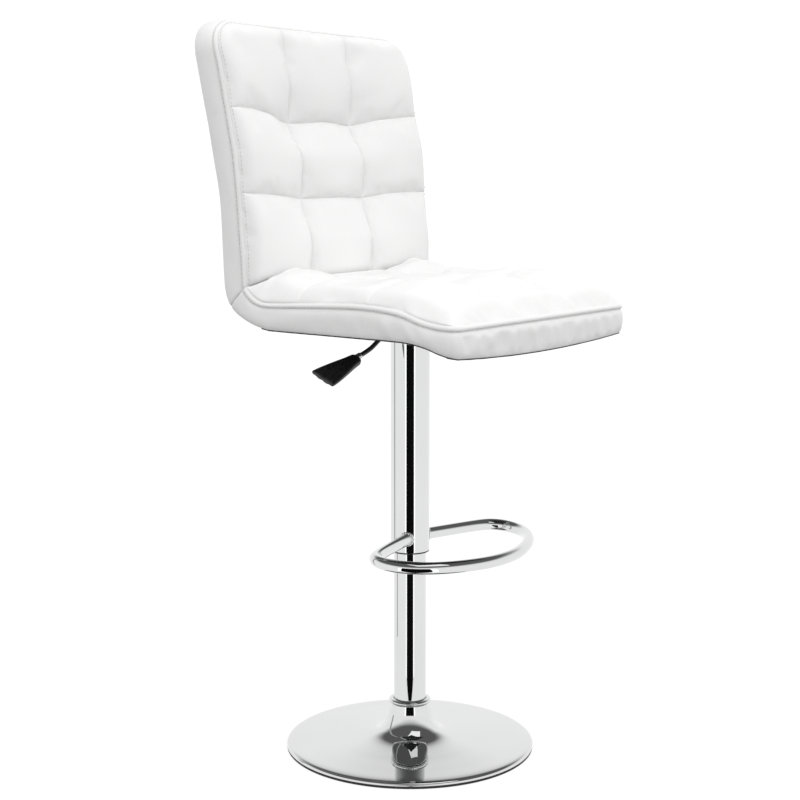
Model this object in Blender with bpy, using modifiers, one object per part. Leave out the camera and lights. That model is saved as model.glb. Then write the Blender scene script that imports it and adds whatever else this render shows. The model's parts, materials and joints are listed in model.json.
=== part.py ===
"""Adjustable swivel bar stool: a trumpet base, a gas-lift column with a sliding sleeve and footrest, a lever
and an upholstered seat with a high back. Metres, +Z up. The origin is on the floor on the column's axis, and
the stool faces -Y. It stands at the top of its lift travel."""

import math

import bmesh
import bpy
from mathutils import Vector

MM = 0.001
GAP = 0.3 * MM            # clearance between pieces that touch
ROUND = 36                # facets round a large turned piece
BASE_STEPS = 48           # facets round the base
ROUND_MEDIUM = 32         # facets round a bearing race, a rubber or a hole that they pass
ROUND_SMALL = 16          # facets round a fastener or a pin
MERGE = 0.00001           # points this close become one

# Base
BASE_RADIUS = 192.5 * MM
NECK_RADIUS = 29.5 * MM
NECK_TOP = 69 * MM
RIM_TOP = 9 * MM
SHELL_WALL = 1.6 * MM
RING_HEIGHT = 4 * MM
RING_RADIUS = 178 * MM    # inside of the rubber ring on the floor
PLATE_TOP = 7.3 * MM      # top of the plate that closes the base from below
SOCKET_RADIUS = 30.8 * MM # flange of the socket that holds the column
COLLAR_BODY = 29.4 * MM
COLLAR_BEAD = 3.2 * MM
COLLAR_TOP = 77 * MM

# Column and lift
COLUMN_RADIUS = 25 * MM
COLUMN_WALL = 2 * MM
COLUMN_BOTTOM = 10 * MM
COLUMN_TOP = 388 * MM
SOCKET_TOP = 52 * MM
GUIDE_BOTTOM = 306 * MM   # the plastic bush that guides the cylinder in the column
GUIDE_LIP = 2 * MM
RACE_RADIUS = 11 * MM
BALL_RADIUS = 1.9 * MM
BALL_CIRCLE = 8.3 * MM
BALL_COUNT = 6
SLEEVE_RADIUS = 30 * MM
SLEEVE_WALL = 1.5 * MM
SLEEVE_BOTTOM = 314 * MM
WIPER_TOP = 352 * MM      # the bush in the sleeve's lower end, which slides on the column
WIPER_LIP = 2 * MM
PAN_FLOOR = 643 * MM      # underside of the pressed pan under the seat
CYLINDER_RADIUS = 14 * MM
CYLINDER_WALL = 1.5 * MM
CYLINDER_BOTTOM = 305 * MM
CYLINDER_TOP = 650 * MM
TAPER_RADIUS = 13.2 * MM  # the cylinder's radius at its tapered top
TAPER_START = 604 * MM
ROD_RADIUS = 5 * MM
JOURNAL_RADIUS = 4 * MM
TAPER_SOCKET_BOTTOM = 606 * MM
TAPER_SOCKET_RADIUS = 18.5 * MM
ROD_TOP = 330 * MM
ROD_BOTTOM = 11.5 * MM
PISTON_BASE = 317 * MM
PISTON_HEIGHT = 12 * MM
PIN_RADIUS = 3 * MM
PIN_BOTTOM = 622 * MM

# Footrest
BAR_RADIUS = 9.25 * MM
BAR_WALL = 1.5 * MM
BAR_END = 4 * MM          # how far the bar's bore runs out past its ends
BAR_HALF_WIDTH = 157 * MM
BAR_REACH = 178 * MM
BAR_ROOT_HEIGHT = 336 * MM
BAR_FRONT_HEIGHT = 327 * MM

# Seat and back
HALF_WIDTH = 220 * MM
SEAT_BOTTOM = 667 * MM
COVER_THICKNESS = 1.3 * MM
PLY_THICKNESS = 11 * MM
SEAT_CROWN = 28 * MM
FOAM_CROWN = 0.95         # the foam's crown as a share of its cover's
BACK_CROWN = 4 * MM
SEAT_CORNER = 14 * MM
BACK_CORNER = 44 * MM
BOLT_SPACING = 70 * MM    # half the bolt square's side
BOLT_RADIUS = 3 * MM
BOLT_HOLE = 3.4 * MM
WASHER_THICKNESS = 1.2 * MM
NUT_RADIUS = 9 * MM
NUT_BARREL = 4.3 * MM
NUT_LENGTH = 9 * MM
PAN_HALF = 50 * MM
PAN_SHEET = 2.5 * MM
FLANGE_HALF = 84 * MM
FLANGE_TOP = 666.7 * MM

# Lever
LEVER_HEIGHT = 657.5 * MM
LEVER_RADIUS = 3.5 * MM
PIVOT_X = -28 * MM
PIVOT_RADIUS = 2 * MM
PIVOT_HOLE = 2.35 * MM
PIVOT_HALF = 9.5 * MM
GRIP_ROLL = math.radians(28)  # the paddle's front edge is the lower one

# Side view outlines, as (distance forward of the column's axis, height) in millimetres, from the rear forward
# along the seat and from the bottom upward along the back. Both start where the two cushions meet.
UNDERSIDE = [(-164, 697), (-155, 689), (-144, 682.5), (-133, 677.5), (-114, 671), (-98, 668.3), (-84, 667),
             (0, 667), (70, 667), (131, 667), (165, 666), (195, 661), (215, 655), (243, 649)]
SEAT_TOP = [(-134, 728), (-127, 720), (-118, 713), (-108, 708.5), (-90, 706), (-34, 709), (18, 712),
            (64, 714), (93, 714), (117, 713), (152, 709), (186, 699.5), (213, 695), (243, 694)]
BACK_REAR = [(-164, 697), (-169, 704), (-173, 714), (-176, 727), (-178, 762), (-179.5, 797), (-182, 844),
             (-187, 878), (-195, 915), (-204, 960), (-215, 1006), (-226, 1054), (-237, 1101)]
BACK_FRONT = [(-134, 728), (-133.5, 734), (-133.5, 740), (-134, 750), (-135, 775), (-138, 806), (-142, 865),
              (-145.5, 897), (-149, 924), (-156, 958), (-165, 1000), (-176, 1050), (-192, 1101)]


def clear_scene():
    for obj in list(bpy.data.objects):
        bpy.data.objects.remove(obj)


def new_collection(name, hidden=False):
    collection = bpy.data.collections.new(name)
    collection.hide_render = hidden
    bpy.context.scene.collection.children.link(collection)
    return collection


def material(name, colour, roughness, metallic=0.0):
    made = bpy.data.materials.new(name)
    made.use_nodes = True
    shader = made.node_tree.nodes["Principled BSDF"]
    shader.inputs["Base Color"].default_value = (*colour, 1)
    shader.inputs["Roughness"].default_value = roughness
    shader.inputs["Metallic"].default_value = metallic
    return made


def add_part(name, mesh, finish, location=(0, 0, 0)):
    """Links a mesh as one named piece of the stool, shaded smooth except across sharp edges."""
    obj = bpy.data.objects.new(name, mesh)
    obj.location = location
    if not mesh.materials:
        mesh.materials.append(finish)
    mesh.shade_smooth()
    mesh.set_sharp_from_angle(angle=math.radians(35))
    STOOL.objects.link(obj)
    return obj


def add_cutter(name, mesh, location=(0, 0, 0)):
    obj = bpy.data.objects.new(name, mesh)
    obj.location = location
    obj.hide_render = True
    obj.display_type = "WIRE"
    CUTTERS.objects.link(obj)
    return obj


def boolean(obj, other, operation="DIFFERENCE"):
    modifier = obj.modifiers.new(operation.title() + " " + other.name, "BOOLEAN")
    modifier.operation = operation
    modifier.object = other


def mesh_from(name, build):
    """A mesh filled by build(bm)."""
    mesh = bpy.data.meshes.new(name)
    bm = bmesh.new()
    build(bm)
    bm.to_mesh(mesh)
    bm.free()
    return mesh


def cylinder_mesh(name, radius, height, steps=ROUND_SMALL):
    """An upright cylinder standing on the object's origin."""

    def build(bm):
        bmesh.ops.create_cone(bm, cap_ends=True, segments=steps, radius1=radius, radius2=radius, depth=height)
        bmesh.ops.translate(bm, verts=bm.verts, vec=(0, 0, height / 2))

    return mesh_from(name, build)


def box_mesh(name, low, high):
    def build(bm):
        bmesh.ops.create_cube(bm, size=1)
        size = Vector(high) - Vector(low)
        bmesh.ops.scale(bm, verts=bm.verts, vec=size)
        bmesh.ops.translate(bm, verts=bm.verts, vec=Vector(low) + size / 2)

    return mesh_from(name, build)


def turn(obj, steps):
    """Turns a profile in the XZ plane a full circle about Z."""
    screw = obj.modifiers.new("Turn", "SCREW")
    screw.steps = steps
    screw.render_steps = steps
    screw.use_merge_vertices = True
    screw.merge_threshold = MERGE
    return obj


def profile_mesh(name, points):
    """A closed loop where every point has a radius, or an open line from the axis back to the axis."""
    mesh = bpy.data.meshes.new(name)
    count = len(points)
    closed = points[0][0] > 0
    edges = [(i, (i + 1) % count) for i in range(count if closed else count - 1)]
    mesh.from_pydata([(r, 0, z) for r, z in points], edges, [])
    return mesh


def turned(name, points, finish, steps=ROUND):
    """A piece turned about the column's axis: its outline runs down the outer side and up the inner one."""
    return turn(add_part(name, profile_mesh(name, points), finish), steps)


def ring(name, inner, outer, low, high, finish, steps=ROUND):
    return turned(name, [(outer, high), (outer, low), (inner, low), (inner, high)], finish, steps)


def arc(centre, radius, start, end, count):
    """Points of an arc in the XZ plane, angles in degrees from +X."""
    angles = [math.radians(start + (end - start) * i / count) for i in range(count + 1)]
    return [(centre[0] + radius * math.cos(a), centre[1] + radius * math.sin(a)) for a in angles]


def smooth_path(points, spacing):
    """Points about spacing apart on a Catmull-Rom curve through the given ones."""
    points = [Vector(p) for p in points]
    ends = [2 * points[0] - points[1], *points, 2 * points[-1] - points[-2]]
    found = []
    for before, start, end, after in zip(ends, ends[1:], ends[2:], ends[3:]):
        count = max(1, round((end - start).length / spacing))
        for i in range(count):
            t = i / count
            found.append(
                0.5 * ((2 * start) + (end - before) * t
                       + (2 * before - 5 * start + 4 * end - after) * t**2
                       + (3 * start - before - 3 * end + after) * t**3)
            )
    return [*found, points[-1]]


def tube_mesh(name, points, radius, resolution):
    """A tube with closed ends along a line of points, as a mesh."""
    curve = bpy.data.curves.new(name, "CURVE")
    curve.dimensions = "3D"
    curve.bevel_depth = radius
    curve.bevel_resolution = resolution
    curve.use_fill_caps = True
    spline = curve.splines.new("POLY")
    spline.points.add(len(points) - 1)
    for place, point in zip(spline.points, points):
        place.co = (*point, 1)
    obj = bpy.data.objects.new(name, curve)
    CUTTERS.objects.link(obj)
    graph = bpy.context.evaluated_depsgraph_get()
    mesh = bpy.data.meshes.new_from_object(obj.evaluated_get(graph))
    mesh.name = name
    bpy.data.objects.remove(obj)
    bm = bmesh.new()
    bm.from_mesh(mesh)
    bmesh.ops.remove_doubles(bm, verts=bm.verts, dist=MERGE)
    bm.to_mesh(mesh)
    bm.free()
    return mesh


# Base: everything that stays on the floor --------------------------------------------------------------


def base_outline():
    """The shell's outer surface from the neck to the rim, as (radius, height)."""
    neck = [(NECK_RADIUS, NECK_TOP), (32 * MM, 52 * MM), (36 * MM, 40 * MM)]
    flare = [(42 * MM, 30.5 * MM), (51 * MM, 23.5 * MM), (68 * MM, 19 * MM)]
    disc = [(110 * MM, 15.3 * MM), (165 * MM, 11.6 * MM), (187 * MM, 10 * MM)]
    rim = [(191.4 * MM, 8.2 * MM), (BASE_RADIUS, 6.2 * MM), (BASE_RADIUS, RING_HEIGHT + GAP)]
    return neck + flare + disc + rim


def wall_inside(outline, wall):
    """The same outline moved inwards by the wall's thickness."""
    moved = []
    for i, (r, z) in enumerate(outline):
        before = Vector(outline[max(i - 1, 0)])
        after = Vector(outline[min(i + 1, len(outline) - 1)])
        along = (after - before).normalized()
        moved.append((r + along.y * wall, z - along.x * wall))
    return moved


def make_base():
    outer = base_outline()
    inner = wall_inside(outer, SHELL_WALL)
    turned("base_shell", outer + inner[::-1], CHROME, BASE_STEPS)
    ring("base_floor_ring", RING_RADIUS, BASE_RADIUS - 0.4 * MM, 0, RING_HEIGHT, BLACK_RUBBER, BASE_STEPS)
    plate_low = RING_HEIGHT + GAP
    plate_radius = BASE_RADIUS - 6.5 * MM
    ring("base_bottom_plate", SOCKET_RADIUS + 0.4 * MM, plate_radius, plate_low, PLATE_TOP, BLACK_STEEL,
         BASE_STEPS)
    bore = COLUMN_RADIUS + 1 * MM
    wall = SOCKET_RADIUS - 2.4 * MM
    flange_top = PLATE_TOP + 4.7 * MM
    socket = [(SOCKET_RADIUS, flange_top), (SOCKET_RADIUS, plate_low), (bore, plate_low), (bore, SOCKET_TOP),
              (wall, SOCKET_TOP), (wall, flange_top)]
    turned("column_socket", socket, BLACK_STEEL)
    fit = COLUMN_RADIUS + GAP
    collar_low = NECK_TOP + GAP
    bead = arc((COLLAR_BODY, collar_low + COLLAR_BEAD + 0.7 * MM), COLLAR_BEAD, 45, -45, 2)
    collar = [(COLLAR_BODY, COLLAR_TOP), *bead, (COLLAR_BODY, collar_low), (fit, collar_low), (fit, COLLAR_TOP)]
    turned("base_collar", collar, CHROME)


def make_column():
    ring("column_tube", COLUMN_RADIUS - COLUMN_WALL, COLUMN_RADIUS, COLUMN_BOTTOM, COLUMN_TOP, CHROME)
    bore = COLUMN_RADIUS - COLUMN_WALL - GAP
    ring("column_bottom_plate", JOURNAL_RADIUS + 0.6 * MM, bore, 16 * MM, 19 * MM, BLACK_STEEL)
    lip_radius = COLUMN_RADIUS - GAP
    lip_low = COLUMN_TOP + GAP
    lip_top = COLUMN_TOP + GUIDE_LIP
    guide_bore = CYLINDER_RADIUS + 0.4 * MM
    bush = [(lip_radius, lip_top), (lip_radius, lip_low), (bore, lip_low), (bore, GUIDE_BOTTOM),
            (guide_bore, GUIDE_BOTTOM), (guide_bore, lip_top)]
    turned("column_guide_bush", bush, BLACK_PLASTIC)
    ring("bearing_lower_race", 4.6 * MM, RACE_RADIUS, 19.3 * MM, 21.3 * MM, STEEL, ROUND_MEDIUM)
    cage = ring("bearing_ball_cage", 6 * MM, 10.6 * MM, 22.8 * MM, 24.2 * MM, STEEL, 24)

    def ball(bm):
        bmesh.ops.create_uvsphere(bm, u_segments=8, v_segments=4, radius=BALL_RADIUS)

    ball_mesh = mesh_from("ball", ball)
    for i in range(BALL_COUNT):
        angle = 2 * math.pi * (i + 0.5) / BALL_COUNT
        place = (BALL_CIRCLE * math.cos(angle), BALL_CIRCLE * math.sin(angle), 23.5 * MM)
        boolean(cage, add_cutter(f"ball_{i + 1}", ball_mesh, place), "UNION")


# Rod: what turns in the base's bearing and doesn't rise ------------------------------------------------


def make_rod():
    ring("bearing_upper_race", 4.4 * MM, RACE_RADIUS, 25.7 * MM, 27.7 * MM, STEEL, ROUND_MEDIUM)
    ring("rubber_buffer", ROD_RADIUS + GAP, 12 * MM, 30 * MM, 52 * MM, BLACK_RUBBER, ROUND_MEDIUM)
    stud, groove = 3.5 * MM, 3 * MM
    stud_low = PISTON_BASE - GAP
    rod = [(0, ROD_TOP), (stud, ROD_TOP), (stud, stud_low), (ROD_RADIUS, stud_low), (ROD_RADIUS, 28 * MM),
           (JOURNAL_RADIUS, 28 * MM), (JOURNAL_RADIUS, 15.4 * MM), (groove, 15.4 * MM), (groove, 13.6 * MM),
           (JOURNAL_RADIUS, 13.6 * MM), (JOURNAL_RADIUS, ROD_BOTTOM), (0, ROD_BOTTOM)]
    turned("piston_rod", rod, STEEL, 20)
    ring("piston_head", stud + GAP, 12.1 * MM, PISTON_BASE, PISTON_BASE + PISTON_HEIGHT, BLACK_PLASTIC,
         ROUND_MEDIUM)
    clip = ring("retaining_clip", groove + GAP, 7.2 * MM, 13.9 * MM, 15.1 * MM, STEEL, ROUND_MEDIUM)
    mouth = box_mesh("clip_mouth", (0, -2.4 * MM, 13 * MM), (9 * MM, 2.4 * MM, 16 * MM))
    boolean(clip, add_cutter("clip_mouth", mouth))


# Lift: what rises and turns with the seat --------------------------------------------------------------


def make_cylinder():
    bore = CYLINDER_RADIUS - CYLINDER_WALL
    pin_bore = PIN_RADIUS + 0.4 * MM
    wall = [(TAPER_RADIUS, CYLINDER_TOP), (CYLINDER_RADIUS, TAPER_START), (CYLINDER_RADIUS, CYLINDER_BOTTOM),
            (bore, CYLINDER_BOTTOM), (bore, 600 * MM), (pin_bore, 606 * MM), (pin_bore, CYLINDER_TOP)]
    turned("gas_cylinder", wall, BLACK_STEEL)
    guide_low = CYLINDER_BOTTOM + GAP
    ring("cylinder_rod_guide", ROD_RADIUS + GAP, bore - GAP, guide_low, 315 * MM, BLACK_RUBBER, ROUND_MEDIUM)
    socket_top = PAN_FLOOR - GAP
    socket = [(TAPER_SOCKET_RADIUS, socket_top), (TAPER_SOCKET_RADIUS, TAPER_SOCKET_BOTTOM),
              (CYLINDER_RADIUS + 0.35 * MM, TAPER_SOCKET_BOTTOM), (TAPER_RADIUS + 0.5 * MM, socket_top)]
    turned("taper_socket", socket, BLACK_STEEL)


def make_sleeve():
    inner = SLEEVE_RADIUS - SLEEVE_WALL
    ring("footrest_sleeve", inner, SLEEVE_RADIUS, SLEEVE_BOTTOM, PAN_FLOOR - GAP, CHROME)
    ring("sleeve_top_ring", TAPER_SOCKET_RADIUS + 0.4 * MM, inner - GAP, 628 * MM, 640 * MM, BLACK_PLASTIC)
    fit = COLUMN_RADIUS + GAP
    lip_top = SLEEVE_BOTTOM - GAP
    lip_low = lip_top - WIPER_LIP
    bush = [(inner - GAP, WIPER_TOP), (inner - GAP, lip_top), (SLEEVE_RADIUS, lip_top),
            (SLEEVE_RADIUS, lip_low), (fit, lip_low), (fit, WIPER_TOP)]
    turned("sleeve_bottom_bush", bush, BLACK_PLASTIC)


def footrest_path():
    """The bar's centreline from one side of the sleeve round the front to the other."""
    # as (aside, forward) in millimetres, for a bar 157 to each side and 178 forward
    half = [(20, 12.2), (45, 18), (76, 25.5), (104, 32.5), (128, 39.5), (144, 47.5), (154, 61), (157, 78),
            (153, 99), (141, 119), (121, 138), (95, 154), (64, 167), (32, 175.5)]
    root, front = half[0][1], 178
    width = BAR_HALF_WIDTH / 157
    reach = BAR_REACH / front
    side = []
    for x, forward in half:
        slope = (forward - root) / (front - root)
        height = BAR_ROOT_HEIGHT + (BAR_FRONT_HEIGHT - BAR_ROOT_HEIGHT) * slope
        side.append((x * width, -forward * reach, height))
    other = [(-x, y, z) for x, y, z in side]
    return smooth_path([*other, (0, -BAR_REACH, BAR_FRONT_HEIGHT), *reversed(side)], 24 * MM)


def make_footrest():
    path = footrest_path()
    bar = add_part("footrest_bar", tube_mesh("footrest_bar", path, BAR_RADIUS, 4), CHROME)
    start = path[0] + (path[0] - path[1]).normalized() * BAR_END
    end = path[-1] + (path[-1] - path[-2]).normalized() * BAR_END
    bore = tube_mesh("bar_hollow", [start, *path[1:-1], end], BAR_RADIUS - BAR_WALL, 2)
    boolean(bar, add_cutter("bar_hollow", bore))
    cope_height = 80 * MM
    cope = cylinder_mesh("bar_cope", SLEEVE_RADIUS + 0.4 * MM, cope_height, ROUND)
    boolean(bar, add_cutter("bar_cope", cope, (0, 0, BAR_ROOT_HEIGHT - cope_height / 2)))


def rounded_square(half, corner, steps=4):
    """Corner points of a square with round corners, anticlockwise."""
    reach = half - corner
    points = []
    for quarter, (x, y) in enumerate([(reach, reach), (-reach, reach), (-reach, -reach), (reach, -reach)]):
        points += arc((x, y), corner, 90 * quarter, 90 * quarter + 90, steps)
    return points


def make_pan():
    """The pressed pan: a floor that the sleeve meets, four leaning walls and a flange under the seat."""

    def build(bm):
        rings = []
        for half, corner, height in ((FLANGE_HALF, 16 * MM, FLANGE_TOP),
                                     (PAN_HALF + 6 * MM, 18 * MM, FLANGE_TOP),
                                     (PAN_HALF, 16 * MM, PAN_FLOOR + PAN_SHEET)):
            rings.append([bm.verts.new((x, y, height)) for x, y in rounded_square(half, corner)])
        for upper, lower in zip(rings, rings[1:]):
            for i in range(len(upper)):
                j = (i + 1) % len(upper)
                bm.faces.new((upper[i], upper[j], lower[j], lower[i]))
        bm.faces.new(rings[-1])
        bmesh.ops.recalc_face_normals(bm, faces=bm.faces)
        if max(bm.faces, key=lambda face: len(face.verts)).normal.z < 0:
            bmesh.ops.reverse_faces(bm, faces=bm.faces)

    pan = add_part("seat_mount_plate", mesh_from("seat_mount_plate", build), BLACK_STEEL)
    solid = pan.modifiers.new("Sheet", "SOLIDIFY")
    solid.thickness = PAN_SHEET
    solid.offset = -1
    solid.use_even_offset = True
    hole = cylinder_mesh("pan_hole", TAPER_RADIUS + 1 * MM, 20 * MM, ROUND_MEDIUM)
    boolean(pan, add_cutter("pan_hole", hole, (0, 0, PAN_FLOOR - 7 * MM)))
    slot = box_mesh("lever_slot", (-70 * MM, -5.5 * MM, LEVER_HEIGHT - 5 * MM),
                    (-40 * MM, 5.5 * MM, LEVER_HEIGHT + 6.5 * MM))
    boolean(pan, add_cutter("lever_slot", slot))
    bolt_hole = cylinder_mesh("bolt_hole", BOLT_HOLE, 12 * MM)
    for i, (x, y) in enumerate(bolt_places()):
        boolean(pan, add_cutter(f"pan_bolt_hole_{i + 1}", bolt_hole, (x, y, FLANGE_TOP - 8.7 * MM)))


def bolt_places():
    return [(x * BOLT_SPACING, y * BOLT_SPACING) for x, y in ((-1, -1), (1, -1), (1, 1), (-1, 1))]


def make_fasteners():
    """Four hexagon bolts with washers from below, into T-nuts in the plywood."""
    washer_low = FLANGE_TOP - PAN_SHEET - GAP - WASHER_THICKNESS
    head_top = washer_low - GAP
    head_height = 4.2 * MM
    shank_low = head_top - 1 * MM
    head = cylinder_mesh("bolt_head", 5.77 * MM, head_height, 6)
    shank = cylinder_mesh("bolt_shank", BOLT_RADIUS, SEAT_BOTTOM + 13.5 * MM - shank_low)
    washer = profile_mesh("washer", [(6.5 * MM, WASHER_THICKNESS), (6.5 * MM, 0), (BOLT_HOLE, 0),
                                     (BOLT_HOLE, WASHER_THICKNESS)])
    ply_top = SEAT_BOTTOM + COVER_THICKNESS + 2 * GAP + PLY_THICKNESS
    flange = 1.3 * MM
    thread = BOLT_RADIUS + 0.35 * MM
    nut = profile_mesh("t_nut", [(NUT_RADIUS, flange), (NUT_RADIUS, 0), (NUT_BARREL, 0),
                                 (NUT_BARREL, -NUT_LENGTH), (thread, -NUT_LENGTH), (thread, flange)])
    for i, (x, y) in enumerate(bolt_places()):
        bolt = add_part(f"mount_bolt_{i + 1}", head, STEEL, (x, y, head_top - head_height))
        boolean(bolt, add_cutter(f"shank_{i + 1}", shank, (x, y, shank_low)), "UNION")
        turn(add_part(f"mount_washer_{i + 1}", washer, STEEL, (x, y, washer_low)), ROUND_SMALL)
        turn(add_part(f"t_nut_{i + 1}", nut, STEEL, (x, y, ply_top + GAP)), ROUND_SMALL)


# Seat and back -----------------------------------------------------------------------------------------


def at_lengths(path, fractions):
    """Points at the given fractions of a line's length, as 2D vectors in metres."""
    points = [Vector(p) * MM for p in path]
    lengths = [0]
    for a, b in zip(points, points[1:]):
        lengths.append(lengths[-1] + (b - a).length)
    found = []
    for fraction in fractions:
        want = fraction * lengths[-1]
        i = next((k for k in range(1, len(points)) if lengths[k] >= want - 1e-12), len(points) - 1)
        share = (want - lengths[i - 1]) / (lengths[i] - lengths[i - 1])
        found.append(points[i - 1].lerp(points[i], share))
    return found


def moved_in(points, towards, distance):
    """A side-view line moved in from itself, each point along its own line to the cushion's other side."""
    found = []
    for i, point in enumerate(points):
        along = (points[min(i + 1, len(points) - 1)] - points[max(i - 1, 0)]).normalized()
        across = (towards[i] - point).normalized()
        slant = abs(Vector((-along.y, along.x)).dot(across))
        found.append(point + across * distance / slant)
    return found


def stations(length, corner, count):
    """Fractions along a cushion: even ones, then closer ones round the far corner."""
    straight = 1 - corner / length
    even = [straight * i / count for i in range(count + 1)]
    turns = 4
    curved = [1 - corner / length * (1 - math.sin(math.pi / 2 * k / turns)) for k in range(1, turns + 1)]
    return even + curved


def half_width(fraction, length, corner, half):
    """Half the cushion's width, which narrows round the far corners."""
    left = (1 - fraction) * length
    if left >= corner:
        return half
    return half - corner + math.sqrt(max(0, corner**2 - (corner - left) ** 2))


def point_3d(x, side_view):
    return (x, -side_view.x, side_view.y)


CUSHIONS = {
    "seat": (UNDERSIDE, SEAT_TOP, 0.40, SEAT_CORNER, SEAT_CROWN, 12),
    "back": (BACK_REAR, BACK_FRONT, 0.385, BACK_CORNER, BACK_CROWN, 11),
}
ACROSS = 8


def layer(cushion, outer_in, inner_in, side_in, end_in=0.0, start_in=0.0):
    """One layer's cross-sections: (share of its length, half width, outer point, inner point)."""
    outer_path, inner_path, length, corner, _, count = CUSHIONS[cushion]
    reach = length - end_in
    turn_radius = corner - side_in
    shares = stations(reach, turn_radius, count)
    fractions = [(start_in + share * (reach - start_in)) / length for share in shares]
    outer = at_lengths(outer_path, fractions)
    inner = at_lengths(inner_path, fractions)
    outer_line = moved_in(outer, inner, outer_in)
    inner_line = moved_in(inner, outer, inner_in)
    widths = [half_width(share, reach, turn_radius, HALF_WIDTH - side_in) for share in shares]
    return list(zip(shares, widths, outer_line, inner_line))


def crowned_row(crown, share, width, outer, inner):
    """The cushion's face at one station, from -X to +X, swelling by the crown towards its middle."""
    up = (inner - outer).normalized()
    row = []
    for i in range(ACROSS + 1):
        across = 2 * i / ACROSS - 1
        height = crown * (1 - across**6) * (1 - (2 * share - 1) ** 8)
        row.append(point_3d(across * width, inner + up * height))
    return row


def make_foam(name, cushion):
    """The foam pad: from the plywood's face to just under the cover."""
    under = COVER_THICKNESS + PLY_THICKNESS + 3 * GAP
    skin = COVER_THICKNESS + GAP
    crown = FOAM_CROWN * CUSHIONS[cushion][4]

    def build(bm):
        rings = []
        sections = layer(cushion, under, skin, skin + 0.2 * MM, skin + 0.6 * MM, 0.4 * MM)
        for share, width, outer, inner in sections:
            low = [point_3d(width * (1 - 2 * i / ACROSS), outer) for i in range(ACROSS + 1)]
            high = crowned_row(crown, share, width, outer, inner)
            rings.append([bm.verts.new(p) for p in low + high])
        for a, b in zip(rings, rings[1:]):
            for i in range(len(a)):
                j = (i + 1) % len(a)
                bm.faces.new((a[i], a[j], b[j], b[i]))
        bm.faces.new(rings[0])
        bm.faces.new(rings[-1])
        bmesh.ops.recalc_face_normals(bm, faces=bm.faces)

    return add_part(name, mesh_from(name, build), FOAM)


def make_cover(name, cushion):
    """The sewn cover: the cushion's face, its two sides and its far end, open towards the plywood."""

    def build(bm):
        rows = []
        for share, width, outer, inner in layer(cushion, 0, 0, 0):
            face = crowned_row(CUSHIONS[cushion][4], share, width, outer, inner)
            row = [point_3d(-width, outer), *face, point_3d(width, outer)]
            rows.append([bm.verts.new(p) for p in row])
        for a, b in zip(rows, rows[1:]):
            for i in range(len(a) - 1):
                bm.faces.new((a[i], a[i + 1], b[i + 1], b[i]))
        bm.faces.new(rows[-1])
        bmesh.ops.recalc_face_normals(bm, faces=bm.faces)
        face = max(bm.faces, key=lambda f: len(f.verts))
        far = Vector((0, -1, 0)) if cushion == "seat" else Vector((0, 0, 1))
        if face.normal.dot(far) < 0:
            bmesh.ops.reverse_faces(bm, faces=bm.faces)

    cover = add_part(name, mesh_from(name, build), WHITE_LEATHER)
    solid = cover.modifiers.new("Cloth", "SOLIDIFY")
    solid.thickness = COVER_THICKNESS
    solid.offset = -1
    solid.use_even_offset = True
    return cover


def strip(name, rows, thickness, finish):
    """A bent panel: rows of (half width, outer point, direction of the inside), given its thickness inwards."""

    def build(bm):
        rings = []
        for width, point, inside in rows:
            corners = [(-width, point), (width, point), (width, point + inside * thickness),
                       (-width, point + inside * thickness)]
            rings.append([bm.verts.new(point_3d(x, p)) for x, p in corners])
        for a, b in zip(rings, rings[1:]):
            for i in range(4):
                j = (i + 1) % 4
                bm.faces.new((a[i], a[j], b[j], b[i]))
        bm.faces.new(rings[0])
        bm.faces.new(rings[-1])
        bmesh.ops.recalc_face_normals(bm, faces=bm.faces)

    return add_part(name, mesh_from(name, build), finish)


def panel_rows(cushion, depth, side_in, end_in):
    """Rows for a panel that follows a cushion's outer side at a depth inside it."""
    rows = []
    surface = layer(cushion, depth, 0, side_in, end_in)
    deeper = layer(cushion, depth + 1 * MM, 0, side_in, end_in)
    for (_, width, point, _), (_, _, inside, _) in zip(surface, deeper):
        rows.append((width, point, (inside - point).normalized()))
    return rows


def make_panels():
    """The back's rear cover, the seat's lining and the one plywood shell that both cushions are built on."""
    edge = COVER_THICKNESS + GAP
    back = panel_rows("back", 0, edge + 0.2 * MM, edge + 0.4 * MM)
    seat = panel_rows("seat", 0, edge + 0.2 * MM, edge + 0.4 * MM)
    rear_rows = 2  # rows of the seat's underside that the rear cover wraps
    strip("rear_cover", back[::-1] + seat[1:rear_rows + 1], COVER_THICKNESS, WHITE_LEATHER)
    lining = strip("dust_cover", seat[rear_rows + 1:], COVER_THICKNESS, BLACK_FABRIC)
    ply_depth = COVER_THICKNESS + 2 * GAP
    ply_back = panel_rows("back", ply_depth, edge + 0.6 * MM, edge + 0.8 * MM)
    ply_seat = panel_rows("seat", ply_depth, edge + 0.6 * MM, edge + 0.8 * MM)
    shell = strip("plywood_shell", ply_back[::-1] + ply_seat[1:], PLY_THICKNESS, PLYWOOD)
    barrel_hole = cylinder_mesh("ply_hole", NUT_BARREL + 0.5 * MM, 24 * MM)
    for i, (x, y) in enumerate(bolt_places()):
        cutter = add_cutter(f"ply_hole_{i + 1}", barrel_hole, (x, y, SEAT_BOTTOM - 5 * MM))
        boolean(shell, cutter)
        boolean(lining, cutter)


def make_seat():
    make_panels()
    seat_foam = make_foam("seat_foam", "seat")
    nut_room = cylinder_mesh("nut_room", NUT_RADIUS + 0.6 * MM, 3.2 * MM)
    for i, (x, y) in enumerate(bolt_places()):
        boolean(seat_foam, add_cutter(f"nut_room_{i + 1}", nut_room, (x, y, SEAT_BOTTOM + 12 * MM)))
    make_foam("back_foam", "back")
    make_cover("seat_cover", "seat")
    make_cover("back_cover", "back")


# Lever and release pin ---------------------------------------------------------------------------------


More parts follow.
